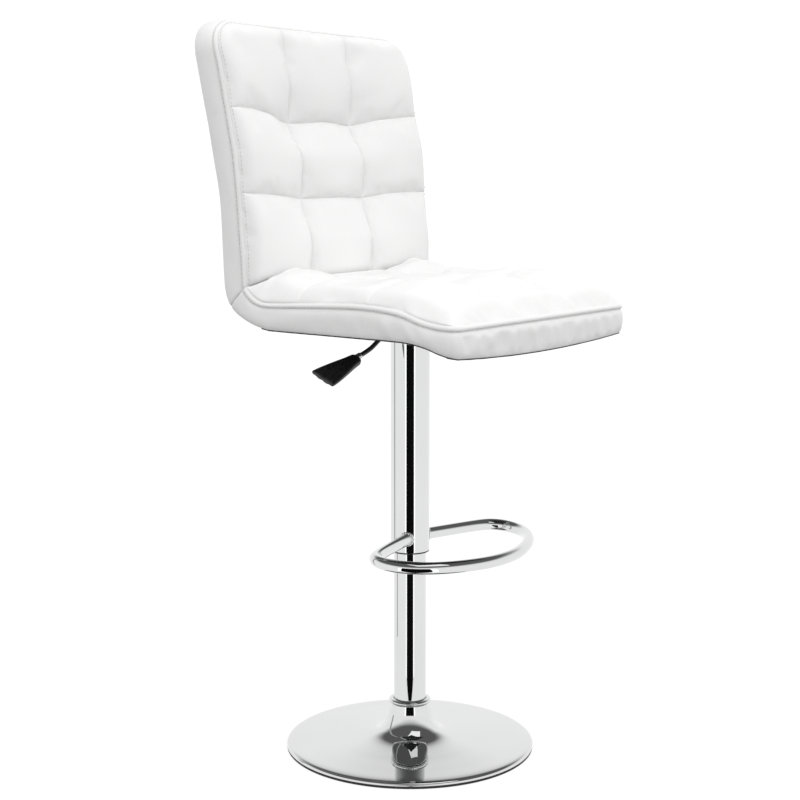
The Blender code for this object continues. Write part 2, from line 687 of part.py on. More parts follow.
def make_release_pin():
    """The pin in the cylinder's top that opens the gas valve. It slides along Z."""
    top = LEVER_HEIGHT - LEVER_RADIUS - 0.4 * MM
    pin = [(0, top), (PIN_RADIUS, top), (PIN_RADIUS, PIN_BOTTOM), (0, PIN_BOTTOM)]
    turned("release_pin", pin, STEEL, ROUND_SMALL)


def cross_cutter(name, length):
    """A cutter for the lever's pivot hole, along Y."""
    cutter = add_cutter(name, cylinder_mesh(name, PIVOT_HOLE, length), (PIVOT_X, length / 2, LEVER_HEIGHT))
    cutter.rotation_euler = (math.radians(90), 0, 0)
    return cutter


def make_lever():
    """The lever turns about Y on a pin held by a bracket in the pan. Its empty sits on that axis."""
    pivot = bpy.data.objects.new("lever_pivot_axis", None)
    pivot.location = (PIVOT_X, 0, LEVER_HEIGHT)
    STOOL.objects.link(pivot)
    route = [(8, 657.5), (-28, 657.5), (-52, 657.2), (-64, 653.4), (-78, 645), (-94, 636), (-112, 629.5),
             (-134, 623.8), (-158, 616.5)]
    path = smooth_path([(x * MM, 0, z * MM) for x, z in route], 9 * MM)
    rod = add_part("lever_rod", tube_mesh("lever_rod", path, LEVER_RADIUS, 4), BLACK_STEEL)
    boolean(rod, cross_cutter("pivot_hole", 12 * MM))
    grip = make_grip()
    for obj in (rod, grip):
        obj.parent = pivot
        obj.matrix_parent_inverse.translation = -pivot.location
    pin_mesh = cylinder_mesh("lever_pivot_pin", PIVOT_RADIUS, 2 * PIVOT_HALF)
    pin = add_part("lever_pivot_pin", pin_mesh, STEEL, (PIVOT_X, PIVOT_HALF, LEVER_HEIGHT))
    pin.rotation_euler = (math.radians(90), 0, 0)
    make_bracket()


def make_bracket():
    """A U-shaped bracket welded to the pan's floor, with an ear on each side of the lever."""
    floor = PAN_FLOOR + PAN_SHEET + GAP
    ear_outside, ear_inside = 8 * MM, 5.8 * MM
    low = (PIVOT_X - 6 * MM, -ear_outside, floor)
    high = (PIVOT_X + 6 * MM, ear_outside, LEVER_HEIGHT + 5.5 * MM)
    bracket = add_part("lever_bracket", box_mesh("lever_bracket", low, high), STEEL)
    room_low = (PIVOT_X - 9 * MM, -ear_inside, floor + 2 * MM)
    room_high = (PIVOT_X + 9 * MM, ear_inside, LEVER_HEIGHT + 12.5 * MM)
    boolean(bracket, add_cutter("bracket_room", box_mesh("bracket_room", room_low, room_high)))
    boolean(bracket, cross_cutter("ear_hole", 24 * MM))


def make_grip():
    """A flat plastic paddle that widens outwards, rolled about its own length."""
    # as (x, z, half width, half thickness) in millimetres
    sections = [(-129, 622.5, 7, 6), (-133, 621.5, 8.5, 7), (-150, 617, 11, 7), (-170, 611.5, 15, 6.5),
                (-190, 606, 19, 6), (-202, 602.8, 20, 5.2), (-206, 601.8, 18.5, 3.5)]
    corners = 12

    def build(bm):
        rings = []
        for x, z, half, thick in sections:
            ring_points = []
            for i in range(corners):
                angle = 2 * math.pi * (i + 0.5) / corners
                c, s = math.cos(angle), math.sin(angle)
                flat = Vector((half * math.copysign(abs(c) ** 0.45, c),
                               thick * math.copysign(abs(s) ** 0.6, s)))
                y = flat.x * math.cos(GRIP_ROLL) - flat.y * math.sin(GRIP_ROLL)
                rise = flat.x * math.sin(GRIP_ROLL) + flat.y * math.cos(GRIP_ROLL)
                ring_points.append(bm.verts.new((x * MM, y * MM, (z + rise) * MM)))
            rings.append(ring_points)
        for a, b in zip(rings, rings[1:]):
            for i in range(corners):
                j = (i + 1) % corners
                bm.faces.new((a[i], a[j], b[j], b[i]))
        bm.faces.new(rings[0])
        bm.faces.new(rings[-1])
        bmesh.ops.recalc_face_normals(bm, faces=bm.faces)

    grip = add_part("lever_grip", mesh_from("lever_grip", build), BLACK_PLASTIC)
    socket = smooth_path([(-120 * MM, 0, 627.8 * MM), (-134 * MM, 0, 623.8 * MM), (-160 * MM, 0, 615.9 * MM)],
                         9 * MM)
    bore = tube_mesh("grip_bore", socket, LEVER_RADIUS + 0.4 * MM, 4)
    boolean(grip, add_cutter("grip_bore", bore))
    return grip


clear_scene()
STOOL = new_collection("swivel_stool")
CUTTERS = new_collection("cutters", hidden=True)
CHROME = material("chrome", (0.86, 0.86, 0.87), 0.06, 1.0)
STEEL = material("zinc_steel", (0.62, 0.62, 0.6), 0.35, 1.0)
BLACK_STEEL = material("black_painted_steel", (0.03, 0.03, 0.032), 0.45, 0.3)
BLACK_PLASTIC = material("black_plastic", (0.015, 0.015, 0.016), 0.4)
BLACK_RUBBER = material("black_rubber", (0.02, 0.02, 0.02), 0.8)
WHITE_LEATHER = material("white_leather", (0.86, 0.86, 0.86), 0.45)
FOAM = material("foam", (0.85, 0.8, 0.62), 0.9)
PLYWOOD = material("plywood", (0.62, 0.45, 0.27), 0.7)
BLACK_FABRIC = material("black_lining", (0.02, 0.02, 0.022), 0.95)
make_base()
make_column()
make_rod()
make_cylinder()
make_sleeve()
make_footrest()
make_pan()
make_fasteners()
make_seat()
make_release_pin()
make_lever()
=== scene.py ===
import json
import math

import bmesh
import bpy
import numpy as np
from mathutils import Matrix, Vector, noise


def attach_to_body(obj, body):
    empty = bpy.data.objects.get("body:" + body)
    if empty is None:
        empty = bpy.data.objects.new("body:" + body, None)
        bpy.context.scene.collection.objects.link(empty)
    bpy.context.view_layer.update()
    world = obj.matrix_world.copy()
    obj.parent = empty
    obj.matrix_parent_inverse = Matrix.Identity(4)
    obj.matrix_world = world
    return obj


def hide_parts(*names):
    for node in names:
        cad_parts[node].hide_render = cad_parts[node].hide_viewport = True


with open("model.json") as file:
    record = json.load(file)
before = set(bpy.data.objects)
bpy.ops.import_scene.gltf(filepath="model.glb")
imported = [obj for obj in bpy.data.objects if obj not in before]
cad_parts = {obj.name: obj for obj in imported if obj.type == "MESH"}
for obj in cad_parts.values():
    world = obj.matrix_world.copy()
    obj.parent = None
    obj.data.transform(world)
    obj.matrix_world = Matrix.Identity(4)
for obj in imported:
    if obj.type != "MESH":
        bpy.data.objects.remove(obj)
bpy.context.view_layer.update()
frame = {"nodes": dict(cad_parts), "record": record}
MM = 0.001

# ---- sizes, in metres unless a name says otherwise
ROUND = 192  # segments round a large turned piece
BAR_RADIUS = 9.25 * MM
SLEEVE_RADIUS = 30 * MM
HANDLE_ROLL = math.radians(28)
HALF_WIDTH = 220 * MM
SEAM_X = 73 * MM  # the two long seams, either side of the middle
CELL = 6.5 * MM  # spacing of the upholstery's mesh
NEAR = (1.2 * MM, 3.4 * MM)  # closer rows beside a seam
BAND = 8.5 * MM  # the folded band between the edge seam and its topstitching
SEAM_DEPTH, SEAM_SPREAD = 2.6, 1.5 * MM  # how deep a seam pulls in, in millimetres, and how far from its line
VALLEY = 11 * MM  # the stuffing rises over about this distance beside a seam
EDGE_PULL = 1.6 * MM  # how far the edge seam pulls in
BAND_SHARES = (0.2, 0.5, 0.8, 1.0)  # rows across the folded band
BAND_BULGE, GUSSET_BULGE = 2.3 * MM, 3.6 * MM
GUSSET_ROWS = 7
GUSSET_WAVE = 1.7 * MM  # the height of the gusset's creases
PUCKER = 1.1  # the small waves beside the seams, in millimetres
PUCKER_FROM, PUCKER_TO = 4 * MM, 13 * MM  # how far beside a seam the waves start, and fade
PUCKER_SCALE, CREASE_SCALE = 75, 62  # of the waves and of the gusset's creases, per metre
CREST = (4.5, -24)  # how much higher the back's top edge is: mm in the middle, and more per metre of x
BOW = 8 * MM  # how much lower the seat's front edge hangs in its middle than at its corners
PANEL_INSET = 11 * MM  # from the back's edge to its rear panel
LINING_START, LINING_INSET = 0.16, 1.5 * MM  # share along the underside, and distance from its edge
STITCH_LENGTH, STITCH_PITCH, THREAD_RADIUS = 3.9 * MM, 6.2 * MM, 0.48 * MM

# The cloth simulation that swells the cushions.
STUFFING = {"quality": 4, "mass": 0.35, "tension_stiffness": 18, "compression_stiffness": 18, "shear_stiffness": 6,
            "bending_stiffness": 2.5, "use_pressure": True, "uniform_pressure_force": 2.6, "shrink_min": -0.009}
STUFFING_FRAMES = 14
MOST_SWELL = 4.5 * MM
GUSSET_ROUNDS = 12  # how often the gusset's moves are averaged with their neighbours'

# The stage: how bright the floor looks and how much of it reaches the leather, and the light from the sky.
FLOOR_GLOW, FLOOR_BOUNCE = 0.82, 0.0
SKY_TOWARD = (0.12, -0.6, 0.76)
SKY_LIGHT = (0.865, 1.30)  # away from that side and toward it
CEILING_TOWARD = (-0.11, -0.086, 0.99)
CEILING_FROM = (0.25, 0.60)  # cosines of the angles where the dark ceiling starts and where it is darkest
CEILING, BACKDROP = 0.12, 1.05
CARD_HEIGHT = 2 * MM
BLACK_CARD, WHITE_CARD, GREY_CARD = 0.004, 1.6, 0.4
SOFTBOX_WATTS, SOFTBOX_SIZE = 10.5, 1.8
SOFTBOX_PLACE, SOFTBOX_AIM = (-0.5, -1.4, 2.9), (0, -0.1, 0.8)
CAMERA_SIDE = Vector((-0.787, -0.617, 0))  # the way from the column to the cards on the floor
GREY_SIDE = Vector((-0.454, 0.890, 0))
CAMERA_PLACE = (-2.0224, -1.5559, 0.9302)
CAMERA_TURN = (math.radians(81.46), 0, math.radians(-52.08))
LENS, SENSOR = 76.05, 36

# Side view outlines, as (distance forward of the column's axis, height) in millimetres, as the CAD has them.
UNDERSIDE = [(-164, 697), (-155, 689), (-144, 682.5), (-133, 677.5), (-114, 671), (-98, 668.3), (-84, 667),
             (0, 667), (70, 667), (131, 667), (165, 666), (195, 661), (215, 655), (243, 649)]
SEAT_TOP = [(-134, 728), (-127, 720), (-118, 713), (-108, 708.5), (-90, 706), (-34, 709), (18, 712), (64, 714),
            (93, 714), (117, 713), (152, 709), (186, 699.5), (213, 695), (243, 694)]
BACK_REAR = [(-164, 697), (-169, 704), (-173, 714), (-176, 727), (-178, 762), (-179.5, 797), (-182, 844),
             (-187, 878), (-195, 915), (-204, 960), (-215, 1006), (-226, 1054), (-237, 1101)]
BACK_FRONT = [(-134, 728), (-133.5, 734), (-133.5, 740), (-134, 750), (-135, 775), (-138, 806), (-142, 865),
              (-145.5, 897), (-149, 924), (-156, 958), (-165, 1000), (-176, 1050), (-192, 1101)]
# How far each cushion's face stands off its outline, in mm: at shares along it, at each of the places in COLUMNS.
SEAT_LEVELS = ([0, 0.08, 0.125, 0.27, 0.43, 0.59, 0.76, 0.9, 1],
               [(16, 17, 24, 24), (22, 22, 33, 33), (24, 23, 33, 33), (17, 13, 24, 24), (18, 15, 18, 18),
                (17, 13, 21, 21), (22, 18, 22, 22), (23, 20, 23, 23), (23, 20, 23, 23)])
BACK_LEVELS = ([0, 0.16, 0.34, 0.5, 0.66, 0.82, 1],
               [(0, 0, 0, 0), (-3, -5, -1, 0), (-9, -11, -5, 0), (-9, -12, -5, 0), (-17, -20, -8, 0),
                (-10, -13, -6, 0), (-6, -7, -4, 0)])
COLUMNS = [0, 73, 147, 220]
# How far each cross seam runs off a straight line, in mm along the cushion, at places across it.
BACK_WARP = [([-220, -150, -73, 0, 73, 130, 220], [1, -3, -10, -10, -12, -6, -6]),
             ([-220, -170, -73, 0, 73, 130, 220], [4, 3, -14, -13, -16, -9, -4])]
SEAT_WARP = [([-220, -73, 0, 73, 220], [0, 6, 4, 6, 0]), ([-220, -73, 0, 73, 220], [0, 5, 3, 5, 0])]


# ---- materials
class Finish:
    """A procedural material: one Principled shader, with noise that varies its colour, roughness and bump."""

    def __init__(self, name, colour, roughness, metallic=0.0, **sockets):
        self.material = bpy.data.materials.new(name)
        self.material.use_nodes = True
        self.tree = self.material.node_tree
        self.shader = self.tree.nodes["Principled BSDF"]
        self.shader.inputs["Base Color"].default_value = (*colour, 1)
        self.shader.inputs["Roughness"].default_value = roughness
        self.shader.inputs["Metallic"].default_value = metallic
        for socket, value in sockets.items():
            self.shader.inputs[socket.replace("_", " ")].default_value = value
        self.place = self.tree.nodes.new("ShaderNodeTexCoord").outputs["Object"]
        self.height = None

    def noise(self, scale, detail=3.0, stretch=None):
        node = self.tree.nodes.new("ShaderNodeTexNoise")
        node.inputs["Scale"].default_value = scale
        node.inputs["Detail"].default_value = detail
        self.tree.links.new(self.stretched(stretch), node.inputs["Vector"])
        return node.outputs["Fac"]

    def cells(self, scale, feature="F1", stretch=None):
        node = self.tree.nodes.new("ShaderNodeTexVoronoi")
        node.feature = feature
        node.inputs["Scale"].default_value = scale
        self.tree.links.new(self.stretched(stretch), node.inputs["Vector"])
        return node.outputs["Distance"]

    def stretched(self, stretch):
        if stretch is None:
            return self.place
        node = self.tree.nodes.new("ShaderNodeMapping")
        node.inputs["Scale"].default_value = stretch
        self.tree.links.new(self.place, node.inputs["Vector"])
        return node.outputs["Vector"]

    def ramp(self, value, low, high, low_at=0.3, high_at=0.7):
        node = self.tree.nodes.new("ShaderNodeValToRGB")
        ends = node.color_ramp.elements
        for end, colour, at in ((ends[0], low, low_at), (ends[1], high, high_at)):
            end.color = (*colour, 1)
            end.position = at
        self.tree.links.new(value, node.inputs["Fac"])
        return node.outputs["Color"]

    def vary_colour(self, value, low, high, **places):
        self.tree.links.new(self.ramp(value, low, high, **places), self.shader.inputs["Base Color"])
        return self

    def vary_roughness(self, value, low, high):
        node = self.tree.nodes.new("ShaderNodeMapRange")
        node.inputs["To Min"].default_value = low
        node.inputs["To Max"].default_value = high
        self.tree.links.new(value, node.inputs["Value"])
        self.tree.links.new(node.outputs["Result"], self.shader.inputs["Roughness"])
        return self

    def bump(self, value, strength, depth):
        node = self.tree.nodes.new("ShaderNodeBump")
        node.inputs["Strength"].default_value = strength
        node.inputs["Distance"].default_value = depth
        self.tree.links.new(value, node.inputs["Height"])
        if self.height is not None:
            self.tree.links.new(self.height, node.inputs["Normal"])
        self.height = node.outputs["Normal"]
        self.tree.links.new(self.height, self.shader.inputs["Normal"])
        return self


def chrome_finish(name, low, high, smear):
    made = Finish(name, high, 0.04, 1.0)
    made.vary_colour(made.noise(9, 4), low, high)
    made.vary_roughness(made.noise(70, 5, smear), 0.015, 0.055)
    return made.material


def leather_finish(name, low, high):
    made = Finish(name, high, 0.45, Specular_IOR_Level=0.4)
    made.vary_colour(made.cells(540), high, low)
    made.vary_roughness(made.noise(130, 4), 0.36, 0.52)
    made.bump(made.cells(620, "SMOOTH_F1"), 0.3, 0.25 * MM)
    made.bump(made.noise(1500, 3), 0.18, 0.1 * MM)
    return made.material


def metal_finish(name, low, high, rough, metallic=1.0, scale=60, depth=0.05 * MM):
    made = Finish(name, high, rough[1], metallic)
    made.vary_colour(made.noise(scale, 4), low, high)
    made.vary_roughness(made.noise(scale * 3, 4), *rough)
    made.bump(made.noise(scale * 14, 3), 0.25, depth)
    return made.material


CHROME = chrome_finish("chrome", (0.69, 0.692, 0.696), (0.715, 0.717, 0.72), (1, 1, 0.25))
LEATHER = leather_finish("white_leather", (0.80, 0.80, 0.797), (0.815, 0.815, 0.813))
# the thread is painted grey, darker than the white leather: painted shade that stands in for the shadow round each
# stitch, so the stitches show as dark dashes
SHADE_PAINTED_THREAD = metal_finish("thread_with_painted_shade", (0.54, 0.54, 0.53), (0.64, 0.64, 0.63), (0.5, 0.7), 0.0, 900, 0.1 * MM)
ZINC = metal_finish("zinc_steel", (0.5, 0.5, 0.49), (0.66, 0.66, 0.65), (0.22, 0.4))
BLACK_STEEL = metal_finish("black_steel", (0.012, 0.012, 0.013), (0.028, 0.028, 0.03), (0.32, 0.5), 0.0, 90,
                           0.12 * MM)
BLACK_PLASTIC = metal_finish("black_plastic", (0.008, 0.008, 0.009), (0.02, 0.02, 0.021), (0.22, 0.36), 0.0, 160)
BLACK_RUBBER = metal_finish("black_rubber", (0.01, 0.01, 0.01), (0.025, 0.025, 0.025), (0.6, 0.8), 0.0, 200,
                            0.1 * MM)
FOAM = metal_finish("foam", (0.72, 0.66, 0.46), (0.85, 0.8, 0.62), (0.85, 0.95), 0.0, 300, 0.5 * MM)


def plywood_finish():
    made = Finish("plywood", (0.62, 0.45, 0.27), 0.65)
    made.vary_colour(made.noise(40, 6, (1, 0.08, 1)), (0.42, 0.28, 0.15), (0.66, 0.5, 0.31))
    made.bump(made.noise(260, 4, (1, 0.05, 1)), 0.3, 0.2 * MM)
    return made.material


def lining_finish():
    """Non-woven lining: pressed fibres with the small square marks of its bonding."""
    made = Finish("black_lining", (0.02, 0.02, 0.022), 0.92, Sheen_Weight=0.25)
    made.vary_colour(made.noise(420, 5), (0.010, 0.010, 0.011), (0.034, 0.034, 0.037))
    made.bump(made.cells(430), 0.6, 0.3 * MM)
    made.bump(made.noise(1100, 4, (1, 0.3, 1)), 0.4, 0.2 * MM)
    return made.material


PLYWOOD = plywood_finish()
LINING = lining_finish()
BY_SLOT = {"chrome": CHROME, "zinc_steel": ZINC, "black_steel": BLACK_STEEL, "black_plastic": BLACK_PLASTIC,
           "black_rubber": BLACK_RUBBER, "white_leather": LEATHER, "foam": FOAM, "plywood": PLYWOOD,
           "black_lining": LINING}


# ---- mesh helpers
def mm(pairs):
    """Points given in millimetres, in metres."""
    return [(a * MM, b * MM) for a, b in pairs]


def placed(name, data):
    """A new object in the scene."""
    obj = bpy.data.objects.new(name, data)
    bpy.context.scene.collection.objects.link(obj)
    return obj


def mesh_object(name, points, faces, material):
    mesh = bpy.data.meshes.new(name)
    mesh.from_pydata([tuple(p) for p in points], [], faces)
    mesh.materials.append(material)
    return placed(name, mesh)


def add_piece(name, points, faces, material, body, slot, replaces=(), sharp=40):
    obj = mesh_object(name, points, faces, material)
    mesh = obj.data
    bm = bmesh.new()
    bm.from_mesh(mesh)
    bmesh.ops.remove_doubles(bm, verts=bm.verts, dist=1e-6)
    bmesh.ops.recalc_face_normals(bm, faces=bm.faces)
    bm.to_mesh(mesh)
    bm.free()
    mesh.shade_smooth()
    mesh.set_sharp_from_angle(angle=math.radians(sharp))
    attach(obj, body, slot, replaces)
    return obj


def attach(obj, body, slot, replaces=()):
    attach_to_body(obj, body)
    if replaces:
        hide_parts(*replaces)


def spline(points, spacing):
    """Points about spacing apart on a Catmull-Rom curve through the given ones."""
    points = [Vector(p) for p in points]
    ends = [2 * points[0] - points[1], *points, 2 * points[-1] - points[-2]]
    found = []
    for before, start, end, after in zip(ends, ends[1:], ends[2:], ends[3:]):
        count = max(1, round((end - start).length / spacing))
        for i in range(count):
            t = i / count
            found.append(0.5 * ((2 * start) + (end - before) * t
                                + (2 * before - 5 * start + 4 * end - after) * t**2
                                + (3 * start - before - 3 * end + after) * t**3))
    return [*found, points[-1]]


def arc(centre, radius, start, end, count=8):
    """Points of an arc as (radius, height) pairs, angles in degrees from outward."""
    angles = [math.radians(start + (end - start) * i / count) for i in range(count + 1)]
    return [(centre[0] + radius * math.cos(a), centre[1] + radius * math.sin(a)) for a in angles]


def skin(rings, closed_along=False):
    """Quads between rings of point indices, each ring closed on itself."""
    faces = []
    for a, b in zip(rings, rings[1:] + (rings[:1] if closed_along else [])):
        for i in range(len(a)):
            j = (i + 1) % len(a)
            faces.append((a[i], a[j], b[j], b[i]))
    return faces


def circle(segments):
    """The angles of points round a circle."""
    return [2 * math.pi * k / segments for k in range(segments)]


def add_ring(points, rings, ring):
    """Adds a ring's points to the others, and their numbers to the rings."""
    rings.append(list(range(len(points), len(points) + len(ring))))
    points += ring


def lathe(name, outline, material, body, slot, replaces):
    """A closed outline of (radius, height) turned about the column's axis."""
    points, rings = [], []
    for r, z in outline:
        add_ring(points, rings, [(r * math.cos(a), r * math.sin(a), z) for a in circle(ROUND)])
    add_piece(name, points, skin(rings, closed_along=True), material, body, slot, replaces)


def frames_along(path):
    """Each point of a path, with two steady directions across it."""
    across = None
    found = []
    for i, point in enumerate(path):
        along = (path[min(i + 1, len(path) - 1)] - path[max(i - 1, 0)]).normalized()
        if across is None:
            across = along.orthogonal().normalized()
        across = (across - along * across.dot(along)).normalized()
        found.append((point, across, along.cross(across)))
    return found


def sweep(path, radius, segments=32, ends=True):
    """(points, faces) of a round bar along a path; radius is a number or one for each point."""
    points, rings = [], []
    for i, (point, across, up) in enumerate(frames_along(path)):
        r = radius[i] if isinstance(radius, list) else radius
        add_ring(points, rings, [point + across * (r * math.cos(a)) + up * (r * math.sin(a))
                                 for a in circle(segments)])
    faces = skin(rings)
    if ends:
        faces += [tuple(reversed(rings[0])), tuple(rings[-1])]
    return points, faces


def slab(rows, columns, place):
    """A closed sheet in two layers: its points, its faces and the outer layer's border, as point numbers.
    place(layer, along, across) gives a point, along from 0 to 1 and across from -1 to 1."""
    points = [place(layer, i / rows, 2 * k / columns - 1)
              for layer in (0, 1) for i in range(rows + 1) for k in range(columns + 1)]
    step = columns + 1
    other = (rows + 1) * step
    faces = []
    for at in (i * step + k for i in range(rows) for k in range(columns)):
        faces.append((at, at + 1, at + step + 1, at + step))
        faces.append((other + at, other + at + step, other + at + step + 1, other + at + 1))
    border = [*range(0, rows * step, step), *range(rows * step, other), *range(rows * step - 1, columns, -step),
              *range(columns, 0, -1)]
    faces += [(a, b, b + other, a + other) for a, b in zip(border, border[1:] + border[:1])]
    return points, faces, border


def merged(parts):
    """Several (points, faces) as one."""
    points, faces = [], []
    for more_points, more_faces in parts:
        shift = len(points)
        points += list(more_points)
        faces += [tuple(i + shift for i in face) for face in more_faces]
    return points, faces


# ---- chromed base, column, sleeve
def make_base():
    neck = [(29.5, 69), (30.6, 60.5), (32, 52), (36, 40), (42, 30.5), (51, 23.5), (68, 19), (110, 15.3),
            (150, 12.6), (178, 10.9), (187.5, 10)]
    outer = [(p.x, p.y) for p in spline(mm(neck), 2.5 * MM)]
    outer += mm([(190.2, 9.2), (191.8, 8.1), (192.5, 6.6), (192.5, 4.4)])
    inner = [(190.9, 4.4), (190.6, 6.4), (186, 8.4), (110, 13.7), (67, 17.4), (50, 22.2), (41, 29.6), (34.6, 39.6),
             (30.4, 51.8), (27.9, 68.8)]
    lathe("base_dish", outer + mm(inner), CHROME, "base", "chrome", ["base_shell"])
    ring = [(178, 0.4), (178.4, 0), (191.2, 0), (192.1, 0.8), (192.1, 3.6), (191.7, 4.1), (178, 4.1)]
    lathe("base_floor_gasket", mm(ring), BLACK_RUBBER, "base", "black_rubber", ["base_floor_ring"])
    bead = arc((29.4 * MM, 73.1 * MM), 3.3 * MM, 100, -80, 12)
    inside = mm([(25.4, 69.3), (25.4, 76.2), (26.3, 77)])
    lathe("column_collar", bead + inside, CHROME, "base", "chrome", ["base_collar"])


def make_tubes():
    lower = [(25, 12), (25, 388.6), (24.6, 389), (23.2, 389), (23.2, 12)]
    lathe("column_lower_tube", mm(lower), CHROME, "base", "chrome", ["column_tube"])
    upper = [(29.3, 314), (29.8, 314.3), (30, 314.9), (30, 316), (30, 642), (28.6, 642), (28.6, 314)]
    lathe("column_upper_sleeve", mm(upper), CHROME, "lift", "chrome", ["footrest_sleeve"])
    bush = [(25.4, 311.9), (29.2, 311.9), (29.8, 312.3), (29.8, 313.9), (25.4, 313.9)]
    lathe("sleeve_wiper_bush", mm(bush), BLACK_PLASTIC, "lift", "black_plastic", ["sleeve_bottom_bush"])


# ---- footrest
def footrest_path():
    """The bar's middle line, from the sleeve's left side round to its right. It slopes 9 mm down to its front."""
    half = [(20, 12.2), (45, 18), (76, 25.5), (104, 32.5), (128, 39.5), (144, 47.5), (154, 61), (157, 78),
            (153, 99), (141, 119), (121, 138), (95, 154), (64, 167), (32, 175.5)]
    side = [(x * MM, -forward * MM, (336 - 9 * (forward - 12) / 166) * MM) for x, forward in half]
    other = [(-x, y, z) for x, y, z in side]
    return spline([*other, (0, -178 * MM, 327 * MM), *reversed(side)], 3.5 * MM)


def weld_bead(path):
    """A small rippled fillet where the bar meets the sleeve."""
    start, heading = path[0], (path[1] - path[0]).normalized()
    across = heading.orthogonal().normalized()
    up = heading.cross(across)
    ring, radii = [], []
    for a in [*circle(60), 2 * math.pi]:
        point = start + (across * math.cos(a) + up * math.sin(a)) * (BAR_RADIUS + 0.5 * MM)
        flat = Vector((point.x, point.y))
        step = Vector((heading.x, heading.y))
        b, c = flat.dot(step), flat.dot(flat) - (SLEEVE_RADIUS + 0.4 * MM) ** 2
        ring.append(point + heading * (-b + math.sqrt(max(0, b * b - step.dot(step) * c))) / step.dot(step))
        radii.append((1.7 + 0.25 * math.sin(17 * a)) * MM)
    return sweep(ring, radii, 12, ends=False)


def make_footrest():
    path = footrest_path()
    bar = add_piece("footrest_ring", *sweep(path, BAR_RADIUS, 40), CHROME, "lift", "chrome", ["footrest_bar"])
    beads = merged([weld_bead(path), weld_bead(path[::-1])])
    add_piece("footrest_weld_beads", *beads, CHROME, "lift", "chrome")
    bar.visible_glossy = False  # the column shows no reflection of it


# ---- lever
def make_lever():
    route = [(8, 657.5), (-28, 657.5), (-52, 657.2), (-64, 653.4), (-78, 645), (-94, 636), (-112, 629.5),
             (-134, 623.8), (-158, 616.5)]
    path = spline([(x * MM, 0, z * MM) for x, z in route], 2.5 * MM)
    add_piece("lever_arm", *sweep(path, 3.5 * MM, 24), BLACK_STEEL, "lever", "black_steel", ["lever_rod"])
    ferrule = spline([(-121 * MM, 0, 627.1 * MM), (-126 * MM, 0, 625.7 * MM), (-131 * MM, 0, 624.4 * MM)], 1 * MM)
    add_piece("lever_ferrule", *sweep(ferrule, 4.7 * MM, 32), ZINC, "lever", "zinc_steel")
    # cross-sections of the handle: (x, z, half width, half thickness) in millimetres
    stations = [(-127.5, 623, 5.2, 4.4), (-128.4, 622.6, 8.4, 6.0), (-131, 621.8, 9.8, 6.9),
                (-145, 618, 11.6, 7.1), (-160, 614, 14.4, 6.9), (-175, 610, 17, 6.5), (-190, 606, 19.2, 5.9),
                (-200, 603.4, 20.2, 5.3), (-204.6, 602.2, 20.2, 4.6), (-206, 601.8, 18.6, 3.2)]
    rows = spline([Vector((x, z, w, t)) for x, z, w, t in stations], 2.2)
    points, rings = [], []
    for x, z, wide, thick in rows:
        reach = (-129 - x) / 77
        ring = []
        for a in circle(56):
            c, s = math.cos(a), math.sin(a)
            y = wide * math.copysign(abs(c) ** 0.72, c)
            up = thick * math.copysign(abs(s) ** 0.8, s)
            # finger grooves run along the lower face, and a shallow hollow along the upper one
            if s < 0:
                up += 1.3 * reach * (0.5 + 0.5 * math.cos(3 * math.pi * y / max(wide, 1))) * abs(s)
            else:
                up -= 1.6 * reach * math.exp(-((y / (0.55 * wide)) ** 2))
            y, up = (y * math.cos(HANDLE_ROLL) - up * math.sin(HANDLE_ROLL),
                     y * math.sin(HANDLE_ROLL) + up * math.cos(HANDLE_ROLL))
            ring.append((x * MM - up * 0.27 * MM, y * MM, (z + up * 0.96) * MM))
        add_ring(points, rings, ring)
    faces = skin(rings) + [tuple(reversed(rings[0])), tuple(rings[-1])]
    add_piece("lever_handle", points, faces, BLACK_PLASTIC, "lever", "black_plastic", ["lever_grip"], sharp=60)


# ---- upholstery
class Line:
    """A side-view outline that can be read at any distance along it."""

    def __init__(self, outline):
        dense = spline([Vector((f * MM, z * MM)) for f, z in outline], 1.5 * MM)
        self.points = np.array([(p.x, p.y) for p in dense])
        steps = np.linalg.norm(np.diff(self.points, axis=0), axis=1)
        self.at = np.concatenate([[0], np.cumsum(steps)])
        self.length = self.at[-1]

    def point(self, share):
        """(forward, height) at shares of the length."""
        where = np.asarray(share) * self.length
        return np.stack([np.interp(where, self.at, self.points[:, k]) for k in (0, 1)], axis=-1)

    def along(self, share):
        """The outline's direction at a share of its length."""
        step = self.point(min(1, share + 0.01)) - self.point(max(0, share - 0.01))
        return step / np.linalg.norm(step)

    def share_at(self, value, axis):
        """The share of the length where forward (axis 0) or height (axis 1) has a value."""
        return np.interp(value, self.points[:, axis], self.at) / self.length


def divisions(breaks, spacing, near, ends=False):
    """Positions between the breaks about spacing apart, with the near offsets at each inner break, and with ends
    also at the first and the last."""
    found = [breaks[0]]
    for i, (a, b) in enumerate(zip(breaks, breaks[1:])):
        after = near if i > 0 or ends else ()
        before = near if i < len(breaks) - 2 or ends else ()
        found += [a + d for d in after]
        low, high = found[-1], b - (before[-1] if before else 0)
        count = max(1, round((high - low) / spacing))
        found += [low + (high - low) * k / count for k in range(1, count + 1)]
        found += [b - d for d in before[-2::-1]] + [b] if before else []
    return np.array(found)


def smoothstep(t):
    t = np.clip(t, 0, 1)
    return t * t * (3 - 2 * t)


def table(knots, values, at):
    """Smooth interpolation in a list of knots: eased between one value and the next."""
    knots, values = np.asarray(knots, float), np.asarray(values, float)
    i = np.clip(np.searchsorted(knots, at) - 1, 0, len(knots) - 2)
    t = (at - knots[i]) / (knots[i + 1] - knots[i])
    return values[i] + (values[i + 1] - values[i]) * smoothstep(t)


def ripple(points, scale, seed):
    """Smooth seeded noise at each point, about -1 to 1."""
    shift = Vector((seed * 3.1, seed * 1.7, seed * 5.3))
    return np.array([noise.noise(Vector(p) * scale + shift) for p in points])


